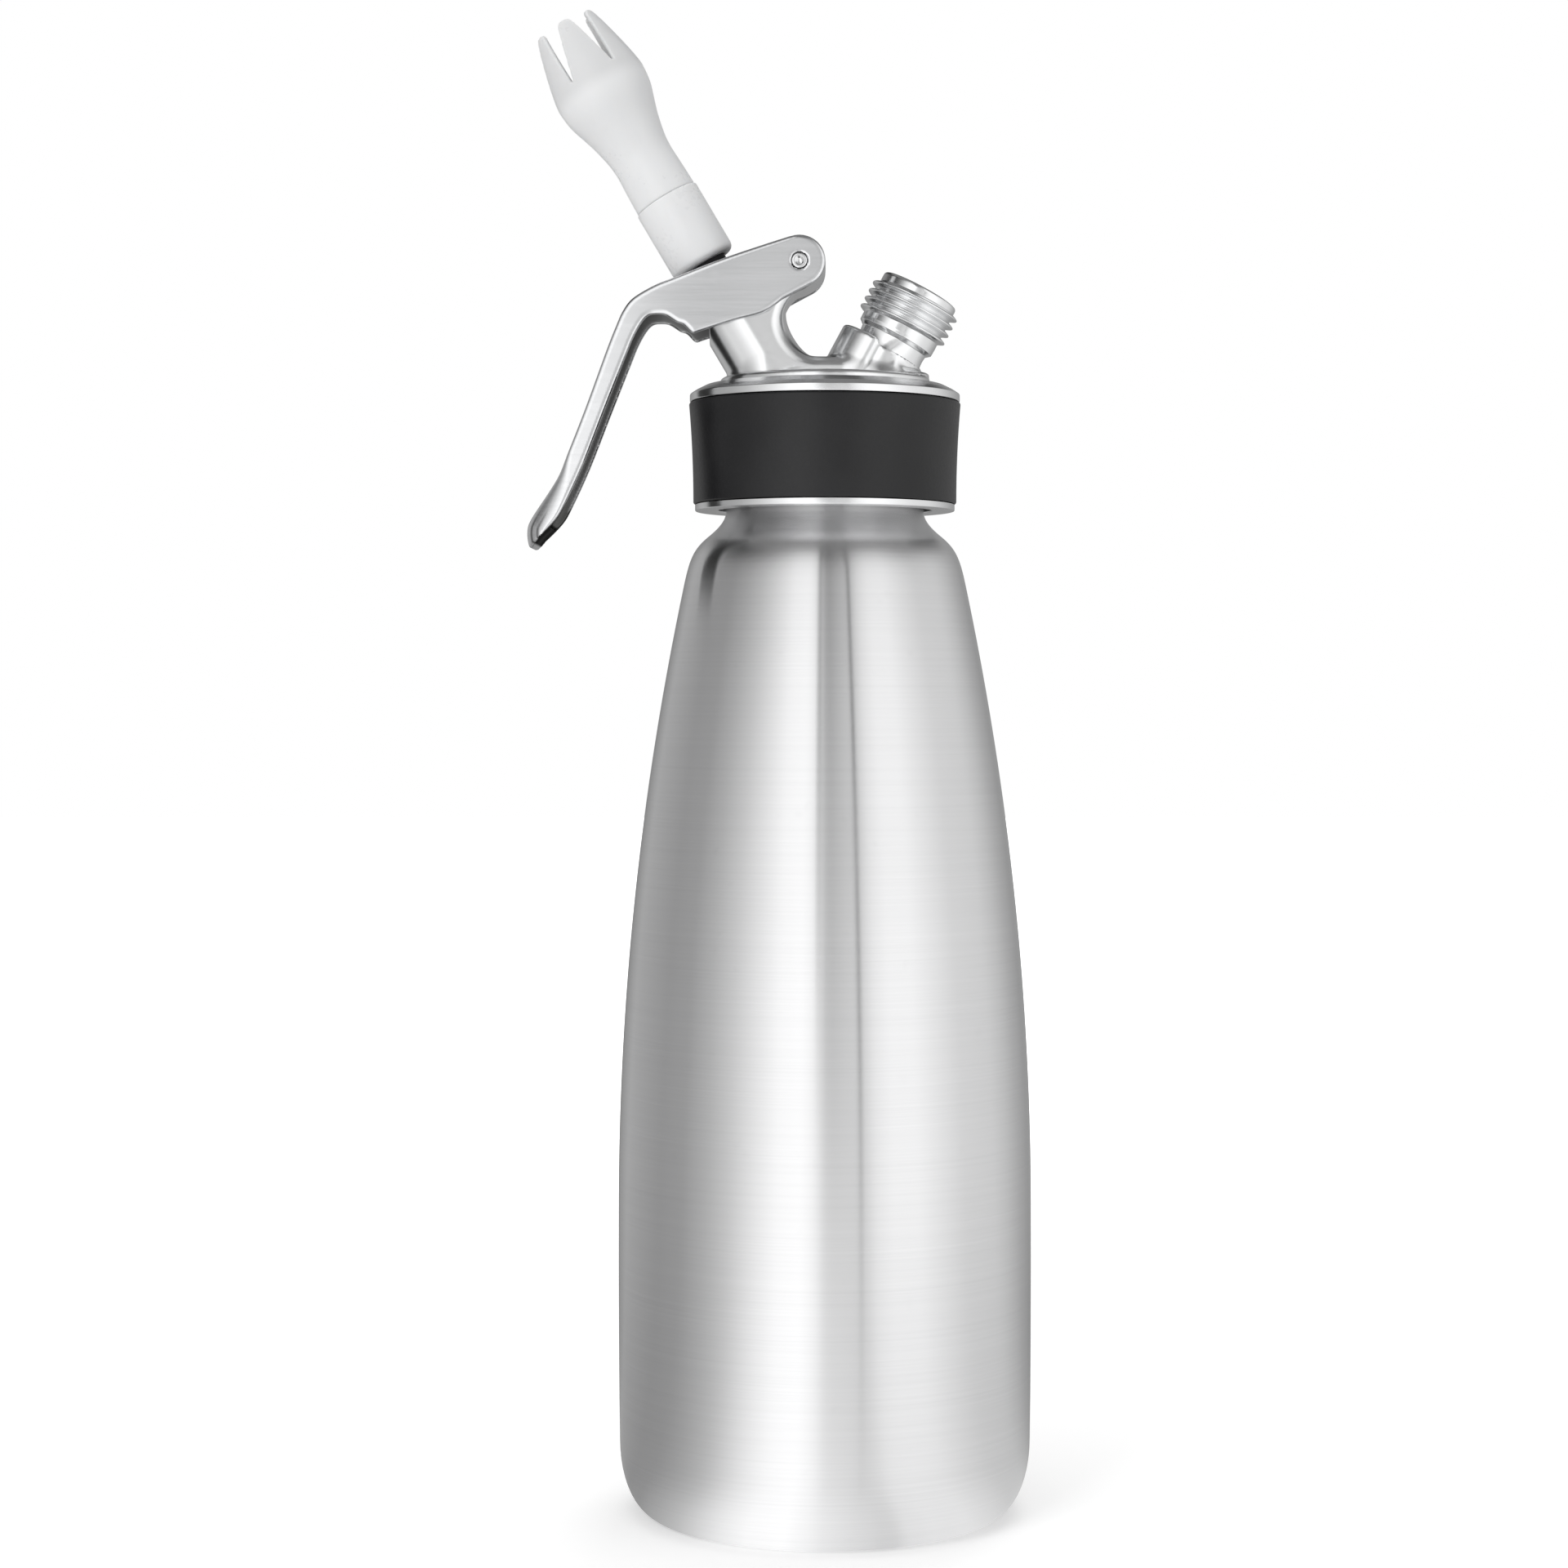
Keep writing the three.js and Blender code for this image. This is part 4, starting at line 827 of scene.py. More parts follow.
def rounded(corners, closed):
    """Corners as (radius, height, fillet), each turned into a small arc."""
    points = []
    count = len(corners)
    for index, corner in enumerate(corners):
        here = Vector(corner[:2])
        fillet = corner[2] if len(corner) > 2 else 0
        at_end = not closed and index in (0, count - 1)
        if fillet == 0 or at_end:
            points.append(tuple(here))
            continue
        before = Vector(corners[index - 1][:2]) - here
        after = Vector(corners[(index + 1) % count][:2]) - here
        half = before.angle(after) / 2
        reach = min(fillet / math.tan(half), 0.49 * before.length, 0.49 * after.length)
        start = here + before.normalized() * reach
        end = here + after.normalized() * reach
        for step in range(ARC_STEPS + 1):
            share = step / ARC_STEPS
            first = start.lerp(here, share)
            second = here.lerp(end, share)
            points.append(tuple(first.lerp(second, share)))
    return points


def bezier(start, start_handle, end_handle, end, steps):
    """Points on a Bezier curve, without its first point."""
    made = []
    for step in range(1, steps + 1):
        t = step / steps
        shares = ((1 - t) ** 3, 3 * t * (1 - t) ** 2, 3 * t * t * (1 - t), t**3)
        corners = (start, start_handle, end_handle, end)
        made.append(tuple(sum(s * c[axis] for s, c in zip(shares, corners)) for axis in (0, 1)))
    return made


def with_thread_rows(points, root, pitch, closed, fineness):
    """Cuts each stretch that stands on the thread's root into fine rows."""
    made = []
    count = len(points) if closed else len(points) - 1
    for index in range(count):
        here, after = points[index], points[(index + 1) % len(points)]
        made.append(here)
        if abs(here[0] - root) < SAME_RADIUS and abs(after[0] - root) < SAME_RADIUS:
            rows = math.ceil(abs(after[1] - here[1]) * fineness / pitch)
            for row in range(1, rows):
                share = row / rows
                made.append((root, here[1] + (after[1] - here[1]) * share))
    if not closed:
        made.append(points[-1])
    return made


def turned_mesh(name, points, material, steps=96, thread=None, closed=True, rows=THREAD_ROWS):
    """Runs the turned_piece tree on an outline and returns a plain mesh in millimetres."""
    sizes = {"Thread Root": -1.0}
    if thread:
        sizes = thread
        points = with_thread_rows(points, thread["Thread Root"], thread["Pitch"], closed, rows)
    count = len(points)
    edges = [(i, (i + 1) % count) for i in range(count if closed else count - 1)]
    outline = bpy.data.meshes.new(name)
    outline.from_pydata([(r, 0, z) for r, z in points], edges, [])
    return run_tree(TURNED_PIECE, name, outline, {"Steps": steps, "Material": material, **sizes})


def turned_piece(name, points, place, material, body, node, steps=96):
    """A finished piece straight from its closed outline."""
    mesh = turned_mesh(name, points, material, steps)
    finish_piece(name, mesh, place, material, body, node)


def thread_sizes(root, pitch, depth, low, turns, root_width, crest_width, ease):
    """The sizes of a thread, under the names of the tree's inputs."""
    return dict(zip(THREAD_SIZES, (root, pitch, depth, low, turns, root_width, crest_width, ease)))


print("outline helpers ready")

# %% [markdown]
# ## The bottle
#
# The bottle is spun from sheet: flat base with a shallow ring, a soft corner, straight walls that
# draw in to a narrow shoulder, and a rolled neck with one and a half turns of thread. Its sides
# follow a parabola very closely, so a rule describes them better than a list of points. The base
# corner is a quarter of an ellipse and the shoulder is two Bezier curves. The inside is the same
# line moved in by the wall.

# %% Bottle
BOTTLE_RADIUS = 47.6
BOTTLE_WALL = 1.2
BASE_RADIUS = 39.5
CORNER_REACH = 7.8
CORNER_HEIGHT = 16
TAPER_START = 70
TAPER_END = 212.1
TAPER_SHARE = 0.313
NECK_RADIUS = 22.8
NECK_BORE = 21.3
BOTTLE_RIM = 250.0
NECK_THREAD = thread_sizes(
    NECK_RADIUS, pitch=3.0, depth=1.5, low=238.5, turns=1.5, root_width=1.7, crest_width=0.7, ease=0.12
)
CORNER_STEPS = 12
TAPER_STEPS = 35
BELLY_POINTS = [(47.44, 26), (47.53, 38), (47.58, 50), (47.6, 60)]
SHOULDER_BEND = (27.0, 223.9)


def bottle_wall():
    """The outer line from the base corner to the foot of the neck."""
    line = []
    for step in range(CORNER_STEPS + 1):
        angle = math.pi / 2 * step / CORNER_STEPS
        line.append((BASE_RADIUS + CORNER_REACH * math.sin(angle), CORNER_HEIGHT * (1 - math.cos(angle))))
    line += BELLY_POINTS
    for step in range(TAPER_STEPS + 1):
        height = TAPER_START + (TAPER_END - TAPER_START) * step / TAPER_STEPS
        drawn_in = TAPER_SHARE * ((height - TAPER_START) / (TAPER_END - TAPER_START)) ** 2
        line.append((BOTTLE_RADIUS * (1 - drawn_in), height))
    line += bezier(line[-1], (31.4, 218.4), (30.57, 221.0), SHOULDER_BEND, 14)
    line += bezier(SHOULDER_BEND, (24.98, 225.54), (NECK_RADIUS, 227.6), (NECK_RADIUS, 230.0), 10)
    return line


def moved_in(line, distance):
    """A line moved to its left-hand side, with its order turned round."""
    made = []
    for index, here in enumerate(line):
        before = Vector(line[max(0, index - 1)])
        after = Vector(line[min(len(line) - 1, index + 1)])
        along = (after - before).normalized()
        made.append((here[0] - along.y * distance, here[1] + along.x * distance))
    return made[::-1]


def bottle_outline():
    """The whole bottle, from the middle of its base outside to the middle of its base inside."""
    base = [(0, 0), (28.5, 0, 0.4), (29.2, 0.7, 0.4), (32.8, 0.7, 0.4), (33.5, 0, 0.4), (39.4, 0)]
    wall = bottle_wall()
    rim = [(NECK_RADIUS, BOTTLE_RIM, 0.6), (NECK_BORE, BOTTLE_RIM, 0.5)]
    neck = rounded([(NECK_RADIUS, 231.0), *rim, (NECK_BORE, 229.0)], False)
    inside = moved_in(wall[:-4], BOTTLE_WALL)
    floor = [(BASE_RADIUS - 2, 0.7 + BOTTLE_WALL), (0, 0.7 + BOTTLE_WALL)]
    return rounded(base, False) + wall + neck + inside + floor


bottle_mesh = turned_mesh("wall", bottle_outline(), BOTTLE_STEEL, 180, NECK_THREAD, closed=False)
finish_piece("cream_bottle", bottle_mesh, upright, BOTTLE_STEEL, "bottle", "bottle")

# %% [markdown]
# ## The grip band
#
# A black silicone ring is stretched over the head between two steel rims, so that wet hands can
# turn it. It flares toward the top. A ring turned from a rounded outline is enough.

# %% Grip band
SKIRT_BOTTOM = 229.9
CEILING = 252.8
LOWER_RIM_TOP = SKIRT_BOTTOM + 1.5
TOP_RIM_LOW = CEILING + 2.2
TOP_RIM_TOP = TOP_RIM_LOW + 1.8
DOME_TOP = TOP_RIM_TOP + 2.6
PLATFORM_TOP = DOME_TOP + 1.2
SKIRT_RADIUS = 27.5
BAND_LOW = LOWER_RIM_TOP + 0.15
BAND_HIGH = TOP_RIM_LOW - 0.15
BAND_STEPS = 8


def band_outline():
    """The band's outline, flared on a square law."""
    flare = []
    for step in range(BAND_STEPS + 1):
        share = step / BAND_STEPS
        fillet = 0.5 if step in (0, BAND_STEPS) else 0.0
        flare.append((30.4 + share**2, BAND_LOW + (BAND_HIGH - BAND_LOW) * share, fillet))
    return rounded([(27.8, BAND_LOW, 0.2), *flare, (27.8, BAND_HIGH, 0.2)], True)


turned_piece(
    "silicone_band", band_outline(), upright, BAND_SILICONE, "head", "grip_band", steps=144
)

# %% [markdown]
# ## Solid forms from distances
#
# The head casting, the lever and the tulip are not turned. Their forms flow into each other with
# fillets, which is hard to model by hand and clean to write as distances: a number for each point
# in space that is negative inside. Two forms join with a soft corner by one formula. The volume
# grid is meshed, and each point is then slid onto the exact surface, so edges stay crisp.

# %% Distance helpers
def joined(a, b, fillet):
    """Two forms joined with a concave fillet."""
    reach = np.hypot(np.maximum(fillet - a, 0), np.maximum(fillet - b, 0))
    return np.maximum(fillet, np.minimum(a, b)) - reach


def both(a, b, edge):
    """What two forms have in common, with a rounded edge."""
    reach = np.hypot(np.maximum(a + edge, 0), np.maximum(b + edge, 0))
    return np.minimum(-edge, np.maximum(a, b)) + reach


def without(a, b, edge):
    """One form with another cut away, with a rounded edge."""
    return both(a, -b, edge)


def rising(value, width):
    """From 0 to 1 as a value goes from 0 to a width."""
    return np.clip(value / width, 0, 1)


def outline_distance(x, z, outline):
    """Signed distance to a closed outline in the XZ plane."""
    points = np.asarray(outline, dtype=float)
    nearest = np.full(np.broadcast(x, z).shape, 1e9)
    inside = np.zeros(nearest.shape, dtype=bool)
    for (ax, az), (bx, bz) in zip(points, np.roll(points, -1, axis=0)):
        ex, ez = bx - ax, bz - az
        share = np.clip(((x - ax) * ex + (z - az) * ez) / (ex * ex + ez * ez + 1e-12), 0, 1)
        nearest = np.minimum(nearest, (x - ax - ex * share) ** 2 + (z - az - ez * share) ** 2)
        if az != bz:
            crosses = (az > z) != (bz > z)
            inside ^= crosses & (x < ax + (z - az) * ex / ez)
    return np.where(inside, -1, 1) * np.sqrt(nearest)


def smooth_path(points, steps):
    """A soft curve through points, with a number of steps between each two."""
    made = []
    ends = [points[0], *points, points[-1]]
    for index in range(len(points) - 1):
        p0, p1, p2, p3 = (np.array(ends[index + k], dtype=float) for k in range(4))
        for step in range(steps):
            t = step / steps
            bend = 2 * p0 - 5 * p1 + 4 * p2 - p3
            swing = -p0 + 3 * p1 - 3 * p2 + p3
            made.append(tuple(0.5 * (2 * p1 + (p2 - p0) * t + bend * t * t + swing * t**3)))
    made.append(tuple(points[-1]))
    return made


def field_mesh(name, distance, low, high, voxel):
    """Meshes the zero surface of a distance, then slides its points onto it."""
    steps = [np.arange(low[axis], high[axis], voxel) for axis in range(3)]
    values = distance(steps[0][:, None, None], steps[1][None, :, None], steps[2][None, None, :])
    shape = tuple(len(s) for s in steps)
    values = np.ascontiguousarray(np.broadcast_to(values, shape), dtype=np.float32)
    reach = 4 * voxel
    grid = openvdb.FloatGrid(reach)
    grid.copyFromArray(np.clip(values, -reach, reach))
    points, quads = grid.convertToQuads(isovalue=0)
    points = points.astype(float) * voxel + np.asarray(low)
    for _ in range(4):
        points = onto_surface(points, distance, voxel)
    mesh = bpy.data.meshes.new(name)
    mesh.from_pydata(points.tolist(), [], quads.tolist())
    print(f"{name}: grid {shape}, {len(quads)} quads")
    return mesh


def onto_surface(points, distance, voxel):
    """One step of each point down its slope, at most a third of a voxel."""
    small = voxel * 0.05
    x, y, z = points.T
    level = distance(x, y, z)
    slope = np.stack(
        [
            distance(x + small, y, z) - distance(x - small, y, z),
            distance(x, y + small, z) - distance(x, y - small, z),
            distance(x, y, z + small) - distance(x, y, z - small),
        ],
        axis=1,
    ) / (2 * small)
    steep = np.maximum((slope**2).sum(axis=1), 0.25)
    step = np.clip(level / steep, -voxel / 3, voxel / 3)
    return points - slope * step[:, None]


print("distance helpers ready")

# %% [markdown]
# ## The lever
#
# The lever is pressed from 1.9 mm steel: two cheeks either side of the valve and a web between them
# down the handle, like a channel. Its web is rolled over into the cheeks with a broad bend, and
# its free edges are only broken. A slot between the cheeks makes room for the valve. It could be a
# bent sheet with Solidify, but the cheeks change depth all along, so distances are simpler: an
# outline seen from the side, given a width, and hollowed.

# %% Lever outlines
CHEEK_INNER = 8.9
CHEEK_OUTER = 10.8
LEVER_TOP = (
    (-2.3, 5.55), (-9.0, 3.4), (-18.4, 0.2), (-28.8, -3.9), (-32.6, -5.4), (-36.5, -7.5), (-38.8, -9.3),
    (-40.5, -11.8), (-41.7, -14.5), (-44.0, -20.3), (-48.8, -33.5), (-53.1, -44.5), (-54.9, -48.8),
    (-57.3, -52.6), (-61.6, -58.8), (-62.54, -61.8), (-62.1, -65.0), (-61.2, -65.4),
)
LEVER_UNDER = (
    (-59.5, -63.1), (-55.7, -59.2), (-53.5, -55.5), (-49.3, -46.4), (-44.5, -34.1), (-39.8, -22.2),
    (-37.9, -17.5), (-36.0, -14.1), (-34.4, -12.5), (-32.4, -12.2), (-30.5, -12.5), (-28.1, -14.0),
    (-26.5, -14.6), (-24.9, -16.2), (-24.0, -16.5), (-22.6, -16.0), (-14.7, -13.6), (-8.2, -11.8),
    (-3.9, -8.8),
)
LEVER_END_RADIUS = 5.95
print("lever points:", len(LEVER_TOP) + len(LEVER_UNDER))

# %% Lever
def arc(x, z, radius, start, end, steps):
    """Points on an arc in the XZ plane, with angles in degrees."""
    made = []
    for step in range(steps + 1):
        angle = math.radians(start + (end - start) * step / steps)
        made.append((x + radius * math.cos(angle), z + radius * math.sin(angle)))
    return made


lever_top = smooth_path(LEVER_TOP, 4)
lever_under = smooth_path(LEVER_UNDER, 4)
lever_side = lever_top + lever_under + arc(0, 0, LEVER_END_RADIUS, -68, 108, 20)
below_top = [(60, 29), *lever_top, (-58, -68), (0, -160), (160, -160), (160, 60)]
WEB = 1.8
SLOT_END = -33.0
LUG_X = -19.35
LUG_Z = -2.95
LUG_RADIUS = 2.2
LUG_INNER = 5.0
LUG_OUTER = 9.8
TIE_X = -10.2
TIE_Z = 1.0
TIE_SLOPE = 0.335
TIE_HALF = (2.0, 0.85)
RIVET_RADIUS = 1.75
RIVET_ROOM = 0.2
ROLL_START = -42
ROLL_LENGTH = 20
ROLL_LEAST = 0.7
ROLL_MORE = 4.8
END_POINT = -59.6
END_TILT = (-0.41, -0.91)
# Where the painted shade and rougher surface of the channel's inside begin.
SHADED_DEPTH = 0.9
SHADED_SIDE = 9.15
SHADED_END = -54.5
SHADED_END_DEPTH = 2.3
SHADED_END_SIDE = 10.3


def lever_distance(x, y, z):
    """The pressed channel, its slot, the two lugs and the tie between the cheeks."""
    side = np.abs(y)
    profile = outline_distance(x, z, lever_side)
    top = outline_distance(x, z, below_top)
    body = both(profile, side - CHEEK_OUTER, 0.75)
    share = rising(ROLL_START - z, ROLL_LENGTH)
    bend = ROLL_LEAST + ROLL_MORE * share * share * (3 - 2 * share)
    body = np.maximum(body, both(top, side - CHEEK_OUTER, bend))
    hollow = both(side - CHEEK_INNER, top + WEB, np.maximum(1.0, bend - 1.6))
    end = END_TILT[0] * (x - END_POINT) + END_TILT[1] * (z - END_POINT)
    hollow = both(hollow, end, 1.2)
    slot = both(side - CHEEK_INNER, SLOT_END - x, 4.0)
    body = without(body, np.minimum(hollow, slot), 0.35)
    along_tie = np.abs(x - TIE_X) - TIE_HALF[0]
    below_tie = np.abs(z - TIE_Z - TIE_SLOPE * (x - TIE_X)) - TIE_HALF[1]
    tie = both(both(along_tie, below_tie, 0.4), side - LUG_OUTER, 0.3)
    body = joined(body, tie, 0.6)
    lug = np.hypot(x - LUG_X, z - LUG_Z) - LUG_RADIUS
    lug = both(lug, np.maximum(side - LUG_OUTER, LUG_INNER - side), 0.4)
    body = joined(body, lug, 0.4)
    return without(body, np.hypot(x, z) - RIVET_RADIUS - RIVET_ROOM, 0.15)


def mark_shaded_inside(mesh):
    """Marks the points of the channel's inside, which get a painted shade colour and a rougher surface."""
    places = np.empty(len(mesh.vertices) * 3)
    mesh.vertices.foreach_get("co", places)
    x, y, z = places.reshape(-1, 3).T
    depth = -outline_distance(x, z, below_top)
    side = np.abs(y)
    between = rising(depth - SHADED_DEPTH, 0.4) * rising(SHADED_SIDE - side, 0.3)
    end = rising(depth - SHADED_END_DEPTH, 0.4) * rising(SHADED_END - z, 2)
    shade_and_dull = np.maximum(between, end * rising(SHADED_END_SIDE - side, 0.3))
    mark = mesh.attributes.new("inside", "FLOAT", "POINT")
    mark.data.foreach_set("value", shade_and_dull.astype(np.float32))
    print("points inside the channel:", int((shade_and_dull > 0.5).sum()))


lever_mesh = field_mesh("lever", lever_distance, (-65, -12, -68), (8, 12, 8), 0.36)
mark_shaded_inside(lever_mesh)
lever_place = Matrix.Translation(HINGE)
finish_piece("squeeze_lever", lever_mesh, lever_place, LEVER_STEEL, "lever", "lever", 50)

# %% [markdown]
# ## The head casting
#
# The head is one investment casting: a skirt with its inside thread, two rims that hold the band,
# a low dome, a round platform, and on it the leaning tower, the saddle that carries the hinge, and
# the cradle of the port. The skirt, rims and dome are turned on a lathe after casting, so they are
# made with the turned_piece tree. The rest is one distance with fillets. A boolean joins the two.

# %% Head ring with its rims and inside thread
SKIRT_BORE = 24.8
DISH_RADIUS = 19.0
PLATFORM_RADIUS = 24.2
RIM_RADIUS = 30.0
TOP_RIM_RADIUS = 31.2
SKIRT_THREAD = thread_sizes(
    SKIRT_BORE, pitch=3.0, depth=-1.5, low=237.0, turns=1.5, root_width=1.7, crest_width=0.7, ease=0.12
)
RING_CORNERS = [
    (DISH_RADIUS, CEILING, 0.4), (SKIRT_BORE, CEILING, 0), (SKIRT_BORE, SKIRT_BOTTOM, 0.4),
    (RIM_RADIUS, SKIRT_BOTTOM, 0.3), (RIM_RADIUS, LOWER_RIM_TOP, 0.15), (SKIRT_RADIUS, LOWER_RIM_TOP, 0.1),
    (SKIRT_RADIUS, TOP_RIM_LOW, 0.1), (TOP_RIM_RADIUS, TOP_RIM_LOW, 0.4), (TOP_RIM_RADIUS, TOP_RIM_TOP, 0.5),
    (29.8, 257.7, 0.6), (27.7, 258.75, 1.2), (23.2, DOME_TOP, 0), (22.6, 258.0, 0), (DISH_RADIUS, 258.0, 0),
]
ring_mesh = turned_mesh("ring", rounded(RING_CORNERS, True), HEAD_STEEL, steps=144, thread=SKIRT_THREAD)
print("head ring points:", len(ring_mesh.vertices))

# %% Head casting above the ring
TOWER_RADIUS = 8.55
TOWER_TOP = -11.7
TOWER_LENGTH = 19
SLEEVE_ROOM = 8.1
SLEEVE_LIFT = 0.12
WELL_RADIUS = 6.3
PASSAGE_RADIUS = 4.6
BOSS_RADIUS = 5.4
PIN_HOLE = 2.3
SADDLE_HALF = 8.45
BOSS_HALF = 8.5
NECK_FIT = 8.35
PORT_SEAT = -16.3
PORT_BORE = 2.6
CAST_LOW = 257.2
PLATFORM_LOW = 256.6
CRADLE_BACK = 3.4
CRADLE_RADIUS = 8.5
CRADLE_FACE = 2.6
CRADLE_TOP = -15.1
LEDGE_X = 13.5
LEDGE_RADIUS = 10.6
LEDGE_NARROWER = 1.2
LEDGE_TOP = 261.8
SEAT_RADIUS = 7.2
SEAT_LOW = -43.2
SEAT_HIGH = -35.2
WELL_FLOOR = -30.5
PASSAGE_TOP = -29
SOCKET_FLOOR = -18.6
GAS_HOLE_RADIUS = 1.0
GAS_HOLE_TOP = -19
CHECK_X = 6
CHECK_RADIUS = 1.3
CHECK_LOW = 255
CHECK_TOP = 258.8


def in_axis(x, y, z, origin, lean):
    """Coordinates across and along a leaning axis."""
    dx, dz = x - origin.x, z - origin.z
    across = dx * math.cos(lean) - dz * math.sin(lean)
    along = dx * math.sin(lean) + dz * math.cos(lean)
    return across, along


def saddle_outline():
    """The saddle seen from the side, from the boss down its hollow to the cradle."""
    boss = arc(HINGE.x, HINGE.z, BOSS_RADIUS, 171, -50, 20)
    hollow = arc(-1.588, 273.3, 8.1, 111.6, 270, 24)
    foot = [(17.0, 265.2), (20.5, 259.0), (-16.0, 259.0), (-16.0, 265.2)]
    return [*boss, *hollow, *foot, (-20.6, 273.0), (-21.6, 276.4), (-14.9, 280.6)]


saddle_side = saddle_outline()


def head_distance(x, y, z):
    """Platform, tower, saddle, boss, cradle and foot, with every hole cut."""
    platform = np.maximum(z - PLATFORM_TOP, PLATFORM_LOW - z)
    platform = both(np.hypot(x, y) - PLATFORM_RADIUS, platform, 1.0)
    across, along = in_axis(x, y, z, VALVE_FOOT, -VALVE_LEAN)
    valve_radius = np.hypot(across, y)
    tower = both(valve_radius - TOWER_RADIUS, along - TOWER_TOP, 0.5)
    tower = np.maximum(tower, TOWER_TOP - TOWER_LENGTH - along)
    from_hinge = np.hypot(x - HINGE.x, z - HINGE.z)
    saddle = both(outline_distance(x, z, saddle_side), np.abs(y) - SADDLE_HALF, 2.8)
    saddle = joined(saddle, both(from_hinge - BOSS_RADIUS, np.abs(y) - BOSS_HALF, 0.5), 2.0)
    p_across, p_along = in_axis(x, y, z, PORT_END, PORT_LEAN)
    port_radius = np.hypot(p_across, y)
    cradle = np.hypot(p_across + CRADLE_BACK, y) - CRADLE_RADIUS
    cradle = both(cradle, p_across + CRADLE_FACE, 1.4)
    cradle = np.maximum(both(cradle, p_along - CRADLE_TOP, 0.8), CAST_LOW - z)
    neck = np.maximum(port_radius - NECK_FIT, np.maximum(p_along - PORT_SEAT, CAST_LOW - z))
    ledge = np.hypot(x - LEDGE_X, LEDGE_NARROWER * y) - LEDGE_RADIUS
    ledge = both(ledge, np.maximum(z - LEDGE_TOP, CAST_LOW - z), 0.7)
    foot = joined(neck, ledge, 1.8)
    seat = both(valve_radius - SEAT_RADIUS, np.maximum(SEAT_LOW - along, along - SEAT_HIGH), 0.4)
    body = joined(joined(tower, saddle, 3.2), platform, 1.4)
    for part, fillet in ((foot, 0.5), (cradle, 0.9), (seat, 0.6)):
        body = joined(body, part, fillet)
    sleeve = np.maximum(valve_radius - SLEEVE_ROOM, TOWER_TOP + SLEEVE_LIFT - along)
    well = np.maximum(valve_radius - WELL_RADIUS, WELL_FLOOR - along)
    passage = np.maximum(valve_radius - PASSAGE_RADIUS, along - PASSAGE_TOP)
    socket = np.maximum(port_radius - PORT_BORE, SOCKET_FLOOR - p_along)
    gas_hole = np.maximum(port_radius - GAS_HOLE_RADIUS, p_along - GAS_HOLE_TOP)
    check_hole = np.maximum(z - CHECK_TOP, CHECK_LOW - z)
    check_hole = np.maximum(np.hypot(x - CHECK_X, y) - CHECK_RADIUS, check_hole)
    gas_way = np.minimum(gas_hole, check_hole)
    cuts = ((sleeve, 0.1), (well, 0.4), (passage, 0.3), (socket, 0.3), (gas_way, 0.05))
    for cut, edge in cuts:
        body = without(body, cut, edge)
    return without(body, from_hinge - PIN_HOLE, 0.2)


def head_casting():
    """Joins the turned ring and the cast part into one closed mesh."""
    ring = bpy.data.objects.new("ring", ring_mesh)
    cast_mesh = field_mesh("casting", head_distance, (-26, -26, 245), (33, 26, 294), 0.4)
    cast = bpy.data.objects.new("cast", cast_mesh)
    for part in (ring, cast):
        bpy.context.scene.collection.objects.link(part)
        shape = bmesh.new()
        shape.from_mesh(part.data)
        bmesh.ops.recalc_face_normals(shape, faces=shape.faces)
        shape.to_mesh(part.data)
        shape.free()
    union = ring.modifiers.new("union", "BOOLEAN")
    union.operation = "UNION"
    union.solver = "MANIFOLD"
    union.object = cast
    mesh = plain_mesh(ring)
    bpy.data.objects.remove(cast)
    return mesh


finish_piece("head_casting", head_casting(), upright, HEAD_STEEL, "head", "head_body", 35)

# %% [markdown]
# ## The gas port
#
# The port is turned from bar and polished: a short plain lead, five crests of a coarse thread, a
# plain band, and a waisted neck that stands on the casting's own neck. The tree for turned
# pieces cuts the thread. Inside are the bore for the charger's neck, the piercing pin and a seal.

# %% Gas port, piercing pin and charger seal
PORT_ROOT = 9.3
PORT_THREAD = thread_sizes(
    PORT_ROOT, pitch=2.0, depth=1.4, low=-10.45, turns=4.5, root_width=1.95, crest_width=0.12, ease=0.14
)
PORT_ROWS = 44
BORE_RADIUS = 5.2
BORE_FLOOR = -12.9
NECK_START = (8.1, -14.2)


def port_outline():
    """The port's outline along its axis, from the bore's mouth down to the foot."""
    bore = [(PORT_BORE, PORT_SEAT), (PORT_BORE, BORE_FLOOR), (BORE_RADIUS, BORE_FLOOR)]
    return [
        *rounded([*bore, (BORE_RADIUS, -0.5, 0.3), (5.7, 0.0, 0.2)], False),
        *rounded([(5.8, 0.0), (PORT_ROOT, 0.0, 0.8), (PORT_ROOT, -11.5)], False),
        *rounded([(9.28, -11.6), (9.28, -12.3, 0.3), (8.2, -13.2, 0.5), NECK_START], False),
        *bezier(NECK_START, (8.08, -14.9), (8.12, -15.6), (8.28, PORT_SEAT), 6),
    ]


port_mesh = turned_mesh("port", port_outline(), THREAD_STEEL, steps=180, thread=PORT_THREAD, rows=PORT_ROWS)
finish_piece("gas_port", port_mesh, port_axis, THREAD_STEEL, "head", "charger_port", 75)

PIN_LOW = -11.2
PIN_CORNERS = [
    (0.45, PIN_LOW - 6.6, 0.05), (2.2, PIN_LOW - 6.6, 0.3), (2.2, PIN_LOW, 0.1), (4.9, PIN_LOW, 0.3),
    (4.9, PIN_LOW + 2.1, 0.3), (1.3, PIN_LOW + 2.1, 0.4), (0.9, PIN_LOW + 3.0, 0.3),
    (0.9, PIN_LOW + 6.2, 0.2), (0.62, PIN_LOW + 7.3, 0.05), (0.45, PIN_LOW + 7.1, 0.05),
]
pin = rounded(PIN_CORNERS, True)
turned_piece("needle", pin, port_axis, POLISHED_STEEL, "head", "piercing_pin", steps=48)

